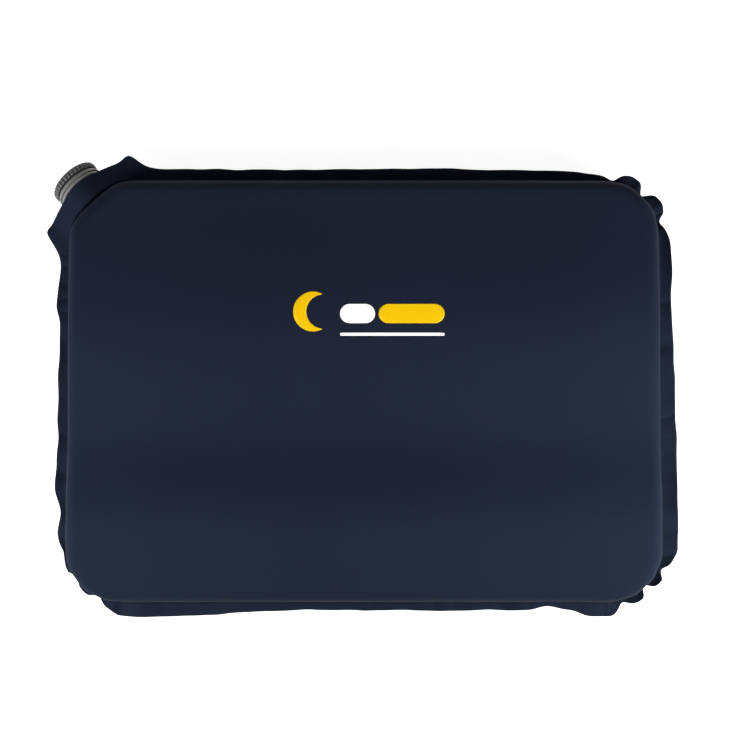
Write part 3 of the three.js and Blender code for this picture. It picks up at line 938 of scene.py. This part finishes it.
@dataclass
class CoverSheet:
    """One half of the cover: a face, a rounded edge, a side wall and its half of the flange."""

    cushion: Cushion
    side: Side
    cloth: float = 0.55 * MM
    edge_radius: float = 8.5 * MM
    belly: float = 1.2 * MM
    face_pull: float = 0.07  # share of a pleat's pinch that reaches the face's edge
    weld_rise: float = 0.62 * MM  # of the flange's outer surface over the weld line
    mouth: MouthShape = field(default_factory=MouthShape)
    slit_depth: float = 10.0 * MM
    slit_width: float = 2.6 * MM
    crest_rise: float = 0.5 * MM
    round_steps: int = 4
    wall_steps: int = 6
    foot_rise: float = 3.6 * MM  # of the side wall's foot over the weld line
    # between wall and flange: how far out and how far over the weld line each point lies
    fillet: tuple[tuple[float, float], ...] = ((0.9 * MM, 1.9 * MM), (2.6 * MM, 0.9 * MM))
    root_lift: float = 0.25  # share of the flange edge's lift that reaches its root
    crease_turn: float = 0.22  # how far the creases' pattern runs round the cushion
    crease_run: float = 0.2  # how far it runs out from it
    flange_shares: tuple[float, ...] = (0.18, 0.38, 0.58, 0.78, 0.92, 1.0)

    def valve_weight(self, across: float) -> float:
        """How far the edge belongs to the valve's mouth, 0 to 1, across from its middle."""
        return 1.0 - smooth((abs(across) - self.mouth.grip) / self.mouth.grip_fade)

    def opened_at(self, point: Vector) -> float:
        """How far a point of the edge belongs to the valve's mouth, 0 to 1."""
        valve = self.cushion.valve
        away = point - (valve.seat - self.cushion.centre)
        if valve.outward.dot(away) < -0.5 * self.cushion.cut_distance:
            return 0.0
        across = abs(valve.along.dot(away))
        return 1.0 - smooth((across - self.mouth.taut) / self.mouth.taut_fade)

    def edge_section(self, start: Vector, normal: Vector, run: float) -> list[Vector]:
        """The section away from the valve, from the face's edge out to the flange's edge.

        Args:
            start: the face's edge, from the cushion's centre.
            normal: straight out of the edge, in plan.
            run: place along the edge, in cells.

        Returns:
            One point a ring.
        """
        reach, lift, pinch = self.cushion.pleat_at(run)
        more_lift, more_reach = self.cushion.flutter(run)
        lift += more_lift
        reach += more_reach
        sign = self.side.value
        radius = self.edge_radius
        weld = self.cushion.weld_height
        points = []
        for step in range(1, self.round_steps + 1):
            turn = math.pi / 2.0 * step / self.round_steps
            out = (radius - self.face_pull * pinch) * math.sin(turn)
            points.append((out, start.z - sign * radius * (1.0 - math.cos(turn))))
        top = start.z - sign * radius
        root_rise = weld + self.root_lift * lift
        foot = root_rise + sign * self.foot_rise
        for step in range(1, self.wall_steps + 1):
            share = step / self.wall_steps
            drawn = pinch * mix(self.face_pull, 1.0, smooth(share))
            out = radius + self.belly * math.sin(math.pi * share) - drawn
            points.append((out, mix(top, foot, share)))
        root = radius - pinch
        points.extend((root + out, root_rise + sign * rise) for out, rise in self.fillet)
        flange_start = points[-1][0]
        for share in self.flange_shares:
            rise = weld + sign * self.weld_rise * (1.0 if share < 0.95 else 0.5)
            out = mix(flange_start, radius + reach, share)
            points.append((out, rise + lift * mix(self.root_lift, 1.0, share**1.4)))
        return [
            Vector((start.x, start.y, 0.0)) + normal * out + Vector((0.0, 0.0, z))
            for out, z in points
        ]

    def mouth_section(self, start: Vector, normal: Vector, across: float) -> list[Vector]:
        """The section at the valve: down into the slit behind it, then over its wedge.

        Args:
            start: the face's edge, from the cushion's centre.
            normal: straight out of the edge, in plan.
            across: place across the valve.

        Returns:
            One point a ring.
        """
        valve, sign = self.cushion.valve, self.side.value
        points = []
        for step in range(1, self.round_steps + 1):
            turn = math.pi / 2.0 * step / self.round_steps
            out = self.edge_radius * math.sin(turn)
            drop = self.edge_radius * (1.0 - math.cos(turn))
            points.append(start + normal * out - Vector((0.0, 0.0, sign * drop)))
        wall = points[-1]
        share_across = min(abs(across) / self.mouth.slit_half, 1.0)
        depth = self.slit_depth * (1.0 - share_across**2)
        if self.side is Side.BOTTOM:
            depth = 0.0
        back = self.mouth.rise(across) + self.mouth.fabric + self.crest_rise
        crest_out = self.out_at(valve.outward.dot(wall) + self.slit_width, sign * back)
        crest = valve.point(across, crest_out, sign * back) - self.cushion.centre
        slit = wall + valve.outward * 0.25 * self.slit_width
        slit.z = crest.z - sign * depth
        for step in range(1, self.wall_steps + 1):
            points.append(wall.lerp(slit, step / self.wall_steps))
        points.append(slit.lerp(crest, 0.6))
        points.append(crest)
        for share in self.flange_shares:
            place = across * mix(1.0, self.mouth.spread, share)
            rise = self.mouth.rise(place) + self.mouth.fabric
            if abs(place) > self.mouth.half_span:
                rise = self.weld_rise
            out = mix(crest_out, self.mouth.edge(place), share)
            if share > 0.99:
                rise -= self.mouth.edge_thinning
            points.append(valve.point(place, out, sign * rise) - self.cushion.centre)
        return points

    def out_at(self, distance: float, up: float) -> float:
        """How far out along the valve's axis a point is, from its plan distance and its rise."""
        valve = self.cushion.valve
        seat = valve.outward.dot(valve.seat - self.cushion.centre)
        level = valve.outward.dot(valve.axis)
        tilt = math.sqrt(1.0 - level * level)
        return (distance - seat - tilt * up) / level

    def edge_normals(self, loop: Sequence[Vector]) -> list[Vector]:
        """Straight-out directions round a closed anticlockwise loop, in plan."""
        count = len(loop)
        normals = []
        for index in range(count):
            tangent = loop[(index + 1) % count] - loop[index - 1]
            normals.append(Vector((tangent.y, -tangent.x, 0.0)).normalized())
        return normals

    def sections(self, loop: Sequence[Vector]) -> tuple[list[list[Vector]], list[Vector]]:
        """Every section round the edge.

        Args:
            loop: the face's edge, from the cushion's centre.

        Returns:
            For each vertex of the loop its ring points, and its straight-out direction.
        """
        valve = self.cushion.valve
        middle = valve.along.dot(valve.seat - self.cushion.centre)
        normals = self.edge_normals(loop)
        sections = []
        for index, (start, normal) in enumerate(zip(loop, normals)):
            points = self.edge_section(start, normal, float(index))
            wall = start + normal * self.edge_radius
            across = valve.along.dot(wall) - middle
            weight = self.valve_weight(across)
            if valve.outward.dot(wall) > 0.5 * self.cushion.cut_distance and weight > 0.0:
                opened = self.mouth_section(start, normal, across)
                points = [a.lerp(b, weight) for a, b in zip(points, opened)]
            sections.append(points)
        return sections, normals

    def start_face(self, bm: bmesh.types.BMesh) -> list[bmesh.types.BMVert]:
        """Shapes the face from a grid.

        Args:
            bm: the sheet's empty mesh.

        Returns:
            The face's edge, in the order of the run.
        """
        cushion = self.cushion
        add_grid(bm, cushion.columns, cushion.rows)
        lattice = {}
        for vertex in bm.verts:
            column, row = cushion.grid_place(vertex)
            lattice[(column, row)] = vertex
            point = cushion.plan_point(column, row, self.edge_radius)
            point.z = cushion.face_height(point, self.side)
            vertex.co = point
        return [lattice[place] for place in cushion.grid_loop()]

    def grow_ring(
        self, bm: bmesh.types.BMesh, rim: Sequence[bmesh.types.BMVert]
    ) -> list[bmesh.types.BMVert]:
        """Extrudes the sheet's edge once and returns the new edge in the order of the run."""
        edges = [bm.edges.get((rim[index - 1], rim[index])) for index in range(len(rim))]
        grown = bmesh.ops.extrude_edge_only(bm, edges=edges)["geom"]
        fresh = {item for item in grown if isinstance(item, bmesh.types.BMVert)}
        return [
            next(
                edge.other_vert(vertex)
                for edge in vertex.link_edges
                if edge.other_vert(vertex) in fresh
            )
            for vertex in rim
        ]

    def edge_place(self, index: int, flat_place: Vector, plan: Vector) -> Vector:
        """Where the creases' pattern is at a point: round the cushion, and out from it."""
        place = self.cushion.around(float(index)) * self.crease_turn
        place.z = self.crease_run * ((flat_place - plan).length + plan.length)
        return place

    def grow_edge(
        self, bm: bmesh.types.BMesh, rim: list[bmesh.types.BMVert]
    ) -> dict[bmesh.types.BMVert, Vector]:
        """Grows the rounded edge, the side wall and the flange, one ring at a time.

        Args:
            bm: the sheet's mesh, which so far is its face.
            rim: the face's edge, in the order of the run.

        Returns:
            Each vertex's place in the flat pattern.
        """
        place_layer = bm.verts.layers.float_vector[EDGE_PLACE]
        slack_layer = bm.verts.layers.float[EDGE_SLACK]
        flat = {vertex: vertex.co.xy.copy() for vertex in bm.verts}
        sections, normals = self.sections([vertex.co.copy() for vertex in rim])
        for ring in range(len(sections[0])):
            slack = smooth((ring - self.round_steps) / self.wall_steps)
            outer = self.grow_ring(bm, rim)
            for index, (vertex, new) in enumerate(zip(rim, outer)):
                new.co = sections[index][ring]
                flat[new] = flat[vertex] + normals[index].xy * (new.co - vertex.co).length
                new[place_layer] = self.edge_place(index, flat[new], new.co.xy)
                new[slack_layer] = slack * (1.0 - self.opened_at(new.co))
            rim = outer
        return flat

    def build(self, name: str, material: bpy.types.Material) -> bpy.types.Object:
        """Grows the sheet ring by ring from its face, and gives the cloth its thickness.

        Args:
            name: the piece's name.
            material: its fabric.

        Returns:
            The finished sheet, riding on the pillow and standing for its CAD solid.
        """
        bm = bmesh.new()
        bm.verts.layers.float_vector.new(EDGE_PLACE)
        bm.verts.layers.float.new(EDGE_SLACK)
        flat = self.grow_edge(bm, self.start_face(bm))
        pattern = bm.loops.layers.uv.new(FLAT_PATTERN)
        for face in bm.faces:
            for corner in face.loops:
                corner[pattern].uv = flat[corner.vert]
        face_up(bm, self.side.value)
        bmesh.ops.translate(bm, verts=bm.verts, vec=self.cushion.centre)
        sheet = link(name, bm)
        sheet.data.materials.append(material)
        thicken = sheet.modifiers.new("cloth", "SOLIDIFY")
        thicken.thickness = self.cloth
        thicken.offset = -1.0
        soften = sheet.modifiers.new("soften", "SUBSURF")
        soften.levels = 1
        soften.render_levels = 1
        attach(sheet, Body.PILLOW.value)
        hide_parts(name.replace("_sheet", "_cover"))
        report(sheet)
        return sheet


@dataclass
class FoamBlock:
    """The contoured foam inside the cover, kept clear of the cloth all round."""

    cushion: Cushion
    side_gap: float = 8.5 * MM
    face_gap: float = 2.4 * MM
    valve_gap: float = 14.0 * MM
    valve_clearing: float = 0.85  # share of what lies past the gap that is pushed back
    base_height: float = 2.4 * MM
    bevel: float = 6.0 * MM
    bevel_angle: float = 50.0  # degrees between two faces that get a rounded edge

    def build(self, material: bpy.types.Material) -> bpy.types.Object:
        """Shapes the block from a grid drawn down into a closed, rounded form.

        Args:
            material: the foam.

        Returns:
            The finished block.
        """
        cushion = self.cushion
        bm = bmesh.new()
        add_grid(bm, cushion.columns, cushion.rows)
        limit = cushion.cut_distance - self.side_gap - self.valve_gap
        for vertex in bm.verts:
            point = cushion.plan_point(*cushion.grid_place(vertex), self.side_gap)
            past = cushion.valve.outward.dot(point) - limit
            if past > 0.0:
                point -= cushion.valve.outward * past * self.valve_clearing
            point.z = cushion.face_height(point, Side.TOP) - self.face_gap
            vertex.co = point
        rim = [edge for edge in bm.edges if edge.is_boundary]
        grown = bmesh.ops.extrude_edge_only(bm, edges=rim)["geom"]
        foot = [item for item in grown if isinstance(item, bmesh.types.BMVert)]
        for vertex in foot:
            vertex.co.z = self.base_height
        border = [item for item in grown if isinstance(item, bmesh.types.BMEdge)]
        bmesh.ops.holes_fill(bm, edges=border, sides=0)
        bmesh.ops.recalc_face_normals(bm, faces=bm.faces)
        least = math.radians(self.bevel_angle)
        sharp = [edge for edge in bm.edges if edge.calc_face_angle(0.0) > least]
        bmesh.ops.bevel(
            bm,
            geom=sharp,
            offset=self.bevel,
            segments=4,
            profile=0.5,
            affect="EDGES",
            material=-1,
        )
        bmesh.ops.translate(bm, verts=bm.verts, vec=cushion.centre)
        block = link("foam_block", bm)
        block.data.materials.append(material)
        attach(block, Body.PILLOW.value)
        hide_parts("foam_core")
        report(block)
        return block


# ------------------------------------------------------------------ print on the face


@dataclass
class FacePrint:
    """A plain emblem of ink film near the middle of the face: a moon, two bars and a rule."""

    cushion: Cushion
    film: float = 0.12 * MM
    lift: float = 0.10 * MM
    moon_middle: tuple[float, float] = (-35.5 * MM, 57.0 * MM)
    moon_radius: float = 14.5 * MM
    bite_size: float = 0.86  # of the moon's radius
    bite_shift: float = 0.52  # of the moon's radius
    bar_low: float = 48.5 * MM
    bar_high: float = 62.5 * MM
    bar_left: float = -16.0 * MM
    white_right: float = 9.5 * MM
    yellow_left: float = 12.0 * MM
    bar_right: float = 60.0 * MM
    rule_low: float = 39.4 * MM
    rule_height: float = 2.2 * MM

    def film_piece(
        self,
        name: str,
        low: float,
        high: float,
        span: Callable[[float], tuple[float, float]],
        cells: tuple[int, int],
        material: bpy.types.Material,
    ) -> bpy.types.Object:
        """Lays one film on the face.

        Args:
            name: the piece's name.
            low: its front edge, from the cushion's middle line.
            high: its back edge.
            span: its left and right edge at a share from front to back.
            cells: cells across and from front to back.
            material: its ink.

        Returns:
            The finished film.
        """
        bm = bmesh.new()
        add_grid(bm, *cells)
        for vertex in bm.verts:
            share = 0.5 - 0.5 * math.cos(math.pi * grid_share(vertex.co.y))
            across = mix(*span(share), grid_share(vertex.co.x))
            point = Vector((across, mix(low, high, share), 0.0))
            point.z = self.cushion.face_height(point, Side.TOP) + self.lift
            vertex.co = point + self.cushion.centre
        bmesh.ops.remove_doubles(bm, verts=bm.verts, dist=0.01 * MM)
        face_up(bm, Side.TOP.value)
        piece = link(name, bm)
        piece.data.materials.append(material)
        thicken = piece.modifiers.new("film", "SOLIDIFY")
        thicken.thickness = self.film
        thicken.offset = 1.0
        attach(piece, Body.PILLOW.value)
        report(piece)
        return piece

    def bar(self, left: float, right: float, height: float) -> Callable[[float], tuple[float, float]]:
        """The edges of a bar with half-round ends, by the share from front to back."""
        radius = height / 2.0

        def span(share: float) -> tuple[float, float]:
            """Left and right edge at a share from front to back."""
            rise = (share - 0.5) * height
            ease = radius - math.sqrt(max(radius * radius - rise * rise, 0.0))
            return left + ease, right - ease

        return span

    def moon(self, middle: float, radius: float) -> Callable[[float], tuple[float, float]]:
        """The edges of a crescent open to the right, by the share from front to back."""
        bite_radius = radius * self.bite_size
        bite_shift = radius * self.bite_shift

        def span(share: float) -> tuple[float, float]:
            """Left and right edge at a share from front to back."""
            rise = (share - 0.5) * 2.0 * radius
            half = math.sqrt(max(radius * radius - rise * rise, 0.0))
            bite = bite_radius * bite_radius - rise * rise
            if bite <= 0.0:
                return middle - half, middle + half
            inner = bite_shift - math.sqrt(bite)
            return middle - half, middle + min(half, max(inner, -half))

        return span

    def build(self, finishes: Finishes) -> None:
        """Lays the moon, the two bars and the rule.

        Args:
            finishes: the object's finishes.
        """
        moon_x, moon_y = self.moon_middle
        self.film_piece(
            "print_moon",
            moon_y - self.moon_radius,
            moon_y + self.moon_radius,
            self.moon(moon_x, self.moon_radius),
            (8, 40),
            finishes.yellow,
        )
        bars = (
            ("print_bar_white", self.bar_left, self.white_right, finishes.white),
            ("print_bar_yellow", self.yellow_left, self.bar_right, finishes.yellow),
        )
        for name, left, right, ink in bars:
            span = self.bar(left, right, self.bar_high - self.bar_low)
            self.film_piece(name, self.bar_low, self.bar_high, span, (20, 14), ink)
        rule_high = self.rule_low + self.rule_height
        rule = self.bar(self.bar_left, self.bar_right, self.rule_height)
        self.film_piece("print_rule", self.rule_low, rule_high, rule, (30, 6), finishes.white)


# ------------------------------------------------------------------ valve


@dataclass
class ValveFittings:
    """The valve's hard pieces: a knurled knob and a stepped collar rebuilt, the rest dressed."""

    place: ValvePlace
    steps: int = 96
    knob_radius: float = 18.8 * MM
    knob_low: float = 6.8 * MM
    knob_high: float = 12.3 * MM
    knob_crown: float = 12.9 * MM
    knob_bore: float = 15.9 * MM
    ribs: int = 36
    steps_a_rib: int = 6
    rib_depth: float = 0.95 * MM
    collar_radius: float = 18.6 * MM
    collar_bore: float = 13.4 * MM
    collar_low: float = 2.7 * MM
    seat_radius: float = 17.8 * MM
    seat_height: float = 2.4 * MM
    neck_radius: float = 9.5 * MM
    neck_top: float = 10.0 * MM
    bore_radius: float = 7.0 * MM
    thread_low: float = 4.3 * MM
    thread_lead: float = 4.0 * MM
    thread_turns: float = 1.2
    wedge_steps: int = 48
    wedge_depth: float = 12.0 * MM
    wing_depth: float = 8.0 * MM
    wedge_setback: float = 0.9 * MM  # of the wedge's front behind the fabric's edge
    collar_high: float = 6.0 * MM
    worn_depth: float = 0.9 * MM  # how far in from a piece's rim hands have rubbed it
    edge_round: float = 0.16 * MM
    edge_angle: float = 32.0  # degrees between two faces that get a rounded edge

    def turned(self, outline: Sequence[tuple[float, float]], ridges: bool) -> bmesh.types.BMesh:
        """Turns an outline round the valve's axis.

        Args:
            outline: radius and height of each corner, closed back to the first unless it
                starts on the axis.
            ridges: whether the outside is knurled.

        Returns:
            The turned mesh, still in the valve's own frame.
        """
        bm = bmesh.new()
        verts = [bm.verts.new((radius, height, 0.0)) for radius, height in outline]
        first = 1 if outline[0][0] == 0.0 else 0
        edges = [
            bm.edges.new((verts[index - 1], verts[index])) for index in range(first, len(verts))
        ]
        steps = self.ribs * self.steps_a_rib if ridges else self.steps
        bmesh.ops.spin(
            bm,
            geom=verts + edges,
            cent=(0.0, 0.0, 0.0),
            axis=(0.0, 1.0, 0.0),
            angle=math.tau,
            steps=steps,
            use_merge=True,
        )
        bmesh.ops.remove_doubles(bm, verts=bm.verts, dist=0.001 * MM)
        bmesh.ops.recalc_face_normals(bm, faces=bm.faces)
        return bm

    def finish_piece(
        self,
        name: str,
        bm: bmesh.types.BMesh,
        node: str,
        body: Body,
        material: bpy.types.Material,
    ) -> bpy.types.Object:
        """Puts a turned mesh in its place and dresses it.

        Args:
            name: the piece's name.
            bm: the mesh in the valve's own frame.
            node: the CAD node it stands for.
            body: the body it rides on.
            material: its finish.

        Returns:
            The finished piece.
        """
        worn = bm.verts.layers.float.new(WORN)
        rim = max(math.hypot(vertex.co.x, vertex.co.z) for vertex in bm.verts)
        for vertex in bm.verts:
            inside = rim - math.hypot(vertex.co.x, vertex.co.z)
            vertex[worn] = smooth(1.0 - inside / self.worn_depth)
        bmesh.ops.transform(bm, matrix=self.place.matrix, verts=bm.verts)
        bmesh.ops.recalc_face_normals(bm, faces=bm.faces)
        piece = link(name, bm)
        piece.data.materials.append(material)
        round_off = piece.modifiers.new("round_off", "BEVEL")
        round_off.width = self.edge_round
        round_off.segments = 2
        round_off.limit_method = "ANGLE"
        round_off.angle_limit = math.radians(self.edge_angle)
        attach(piece, body.value)
        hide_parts(node)
        report(piece)
        return piece

    def build_knob(self, material: bpy.types.Material) -> bpy.types.Object:
        """The knurled knob: a ribbed rim with a groove and a shallow dished crown."""
        low, high, crown = self.knob_low, self.knob_high, self.knob_crown
        rim, bore = self.knob_radius, self.knob_bore
        outline = (
            (0.0, crown - 1.3 * MM),
            (10.9 * MM, crown - 1.35 * MM),
            (10.9 * MM, low - 1.8 * MM),
            (12.9 * MM, low - 1.8 * MM),
            (12.9 * MM, crown - 2.4 * MM),
            (bore, crown - 2.4 * MM),
            (bore, low),
            (rim - 0.9 * MM, low),
            (rim - 0.2 * MM, low + 0.35 * MM),
            (rim, low + 0.9 * MM),
            (rim, high - 1.9 * MM),
            (rim - 0.35 * MM, high - 1.2 * MM),
            (rim - 1.5 * MM, high - 0.4 * MM),
            (rim - 2.6 * MM, high),
            (rim - 3.4 * MM, high - 0.05 * MM),
            (rim - 4.2 * MM, high - 0.55 * MM),
            (rim - 5.2 * MM, high - 0.62 * MM),
            (rim - 6.0 * MM, high - 0.1 * MM),
            (rim - 7.2 * MM, high + 0.25 * MM),
            (6.0 * MM, crown - 0.08 * MM),
            (0.0, crown),
        )
        bm = self.turned(outline, ridges=True)
        rib_low, rib_high = low + 0.2 * MM, high - 0.9 * MM
        for vertex in bm.verts:
            radius = math.hypot(vertex.co.x, vertex.co.z)
            if radius < rim - 1.0 * MM or not rib_low < vertex.co.y < rib_high:
                continue
            angle = math.atan2(vertex.co.z, vertex.co.x)
            wave = 0.5 + 0.5 * math.cos(angle * self.ribs)
            cut = self.rib_depth * (1.0 - smooth(wave * 1.35))
            scale = (radius - cut) / radius
            vertex.co.x *= scale
            vertex.co.z *= scale
        return self.finish_piece(
            "valve_cap", bm, "valve_knob", Body.KNOB, material
        )

    def build_collar(self, material: bpy.types.Material) -> bpy.types.Object:
        """The stepped collar under the knob."""
        low, high = self.collar_low, self.collar_high
        rim, bore = self.collar_radius, self.collar_bore
        outline = (
            (bore, low),
            (rim, low),
            (rim, low + 1.1 * MM),
            (rim - 0.35 * MM, low + 1.35 * MM),
            (rim - 0.9 * MM, low + 1.5 * MM),
            (rim - 0.95 * MM, high - 0.7 * MM),
            (rim - 1.5 * MM, high - 0.15 * MM),
            (rim - 2.3 * MM, high),
            (bore, high),
        )
        bm = self.turned(outline, ridges=False)
        return self.finish_piece(
            "valve_step_ring", bm, "valve_collar", Body.PILLOW, material
        )

    def build_throat(self, material: bpy.types.Material) -> bpy.types.Object:
        """The seat and the neck that the knob screws onto."""
        seat, neck, bore = self.seat_radius, self.neck_radius, self.bore_radius
        outline = (
            (bore, -11.0 * MM),
            (seat - 3.2 * MM, -11.0 * MM),
            (seat - 3.2 * MM, -0.2 * MM),
            (seat - 0.5 * MM, 0.0),
            (seat, 0.45 * MM),
            (seat, self.seat_height - 0.45 * MM),
            (seat - 0.45 * MM, self.seat_height),
            (neck + 0.7 * MM, self.seat_height),
            (neck, self.seat_height + 0.7 * MM),
            (neck, self.neck_top - 0.6 * MM),
            (neck - 0.6 * MM, self.neck_top),
            (bore + 0.4 * MM, self.neck_top),
            (bore, self.neck_top - 0.4 * MM),
        )
        bm = self.turned(outline, ridges=False)
        return self.finish_piece(
            "valve_throat", bm, "valve_body", Body.PILLOW, material
        )

    def build_thread(self, material: bpy.types.Material) -> bpy.types.Object:
        """The coarse thread on the neck, a little over one turn of a rounded ridge."""
        neck = self.neck_radius
        bm = bmesh.new()
        profile = (
            (neck - 0.2 * MM, -0.75 * MM),
            (neck + 0.75 * MM, -0.4 * MM),
            (neck + 0.95 * MM, 0.0),
            (neck + 0.75 * MM, 0.4 * MM),
            (neck - 0.2 * MM, 0.75 * MM),
        )
        verts = [
            bm.verts.new((radius, self.thread_low + rise, 0.0)) for radius, rise in profile
        ]
        edges = [bm.edges.new((verts[index - 1], verts[index])) for index in range(len(verts))]
        bmesh.ops.spin(
            bm,
            geom=verts + edges,
            cent=(0.0, 0.0, 0.0),
            axis=(0.0, 1.0, 0.0),
            dvec=(0.0, self.thread_lead / self.steps, 0.0),
            angle=math.tau * self.thread_turns,
            steps=int(self.steps * self.thread_turns),
        )
        bmesh.ops.holes_fill(bm, edges=bm.edges, sides=0)
        return self.finish_piece(
            "valve_thread", bm, "valve_body", Body.PILLOW, material
        )

    def build_wedge(self, mouth: MouthShape, material: bpy.types.Material) -> bpy.types.Object:
        """The welded wedge that spreads the fabric's mouth, thin at its two wings.

        Args:
            mouth: the shape of the mouth.
            material: its finish.

        Returns:
            The finished wedge.
        """
        bm = bmesh.new()
        corners = 4
        add_grid(bm, self.wedge_steps, corners)
        for vertex in bm.verts:
            corner = round(grid_share(vertex.co.y) * corners) % corners
            across = mouth.wing_end * math.sin(math.pi / 2.0 * vertex.co.x)
            share = abs(across) / mouth.half_span
            rise = max(mouth.rise(across), 0.5 * MM) - 0.05 * MM
            out = mouth.edge(across) - self.wedge_setback
            if corner in (1, 2):
                out = mix(-self.wedge_depth, -self.wing_depth, share**2)
                rise = max(rise - 0.6 * MM, 0.3 * MM)
            up = rise if corner in (0, 1) else -rise
            vertex.co = (across, out, up)
        bmesh.ops.remove_doubles(bm, verts=bm.verts, dist=0.001 * MM)
        bmesh.ops.holes_fill(bm, edges=bm.edges, sides=0)
        return self.finish_piece(
            "valve_wedge", bm, "valve_body", Body.PILLOW, material
        )

    def dress(self, finishes: Finishes) -> None:
        """Gives the carried-over hard pieces their finishes.

        Args:
            finishes: the object's finishes.
        """
        wear = {
            "foam_guard": finishes.collar,
            "seal_button": finishes.collar,
            "base_o_ring": finishes.rubber,
            "knob_seal": finishes.rubber,
        }
        for node, material in wear.items():
            mesh = frame["nodes"][node].data
            mesh.materials.clear()
            mesh.materials.append(material)
            log.info("%s: dressed", node)


# ------------------------------------------------------------------ studio


@dataclass
class Studio:
    """A pale floor, soft lights and a camera looking straight down."""

    centre: Vector
    distance: float = 2.5
    frame_width: float = 0.537
    face_height: float = 0.09
    aim: tuple[float, float] = (5.8 * MM, 14.5 * MM)
    light_aim: float = 0.05  # height that the lights look at
    floor_half: float = 4.0
    floor_glow: float = 0.88
    fill: float = 0.17  # of the surroundings, which the camera sees as white

    def build_floor(self) -> None:
        """Lays the floor, with a slow change of tone."""
        bm = bmesh.new()
        bmesh.ops.create_grid(bm, x_segments=8, y_segments=8, size=self.floor_half)
        floor = link("floor", bm)
        material, graph, shader = start_material("pale_floor")
        place = graph.add("ShaderNodeTexCoord")
        drift = graph.add("ShaderNodeTexNoise", {"Vector": place.outputs["Object"], "Scale": 0.8})
        colour = graph.blend_colour(
            drift.outputs["Fac"], (0.50, 0.50, 0.50, 1.0), (0.54, 0.54, 0.54, 1.0)
        )
        graph.tree.links.new(colour, shader.inputs["Base Color"])
        shader.inputs["Roughness"].default_value = 0.9
        shader.inputs["Specular IOR Level"].default_value = 0.1
        shader.inputs["Emission Color"].default_value = (1.0, 1.0, 1.0, 1.0)
        shader.inputs["Emission Strength"].default_value = self.floor_glow
        floor.data.materials.append(material)

    def add_light(
        self, name: str, place: tuple[float, float, float], size: tuple[float, float], power: float
    ) -> None:
        """Hangs one soft rectangular light that looks at the pillow.

        Args:
            name: the light's name.
            place: where it hangs, from the pillow's middle.
            size: its width and height.
            power: its power in watts.
        """
        data = bpy.data.lights.new(name, "AREA")
        data.shape = "RECTANGLE"
        data.size, data.size_y = size
        data.energy = power
        lamp = bpy.data.objects.new(name, data)
        lamp.visible_camera = False
        bpy.context.scene.collection.objects.link(lamp)
        lamp.location = Vector(place) + self.centre
        aim = Vector((self.centre.x, self.centre.y, self.light_aim)) - lamp.location
        lamp.rotation_euler = aim.to_track_quat("-Z", "Y").to_euler()

    def build(self) -> None:
        """Sets the floor, the lights, the surroundings and the camera."""
        self.build_floor()
        self.add_light("left_soft", (-0.52, -0.20, 0.40), (0.3, 0.6), 5.2)
        self.add_light("right_soft", (0.50, -0.20, 0.38), (0.3, 0.6), 6.0)
        self.add_light("back_strip", (-0.2, 2.2, 1.6), (2.4, 0.8), 4.0)
        world = bpy.data.worlds.new("studio")
        bpy.context.scene.world = world
        world.use_nodes = True
        graph = Graph(world.node_tree)
        background = world.node_tree.nodes["Background"]
        background.inputs["Color"].default_value = (1.0, 1.0, 1.0, 1.0)
        seen = graph.add("ShaderNodeLightPath").outputs["Is Camera Ray"]
        strength = graph.math("MULTIPLY_ADD", seen, 1.0 - self.fill, self.fill)
        graph.tree.links.new(strength, background.inputs["Strength"])
        camera = bpy.data.cameras.new("overhead")
        camera.sensor_width = 36.0
        camera.lens = camera.sensor_width * (self.distance - self.face_height) / self.frame_width
        holder = bpy.data.objects.new("overhead", camera)
        bpy.context.scene.collection.objects.link(holder)
        holder.location = (self.centre.x + self.aim[0], self.centre.y + self.aim[1], self.distance)
        bpy.context.scene.camera = holder
        bpy.context.scene.view_settings.view_transform = "Standard"


# ------------------------------------------------------------------ the whole pillow


def main() -> None:
    """Builds the pillow round its frame, and the studio round the pillow."""
    cushion = Cushion()
    Studio(cushion.centre).build()
    finishes = Finishes()
    CoverSheet(cushion, Side.TOP).build("top_sheet", finishes.cover)
    CoverSheet(cushion, Side.BOTTOM, edge_radius=11.0 * MM).build("bottom_sheet", finishes.cover)
    FoamBlock(cushion).build(finishes.foam)
    FacePrint(cushion).build(finishes)
    fittings = ValveFittings(cushion.valve)
    fittings.build_knob(finishes.knob)
    fittings.build_collar(finishes.collar)
    fittings.build_throat(finishes.collar)
    fittings.build_thread(finishes.collar)
    fittings.build_wedge(MouthShape(), finishes.collar)
    fittings.dress(finishes)


if __name__ == "__main__":
    main()
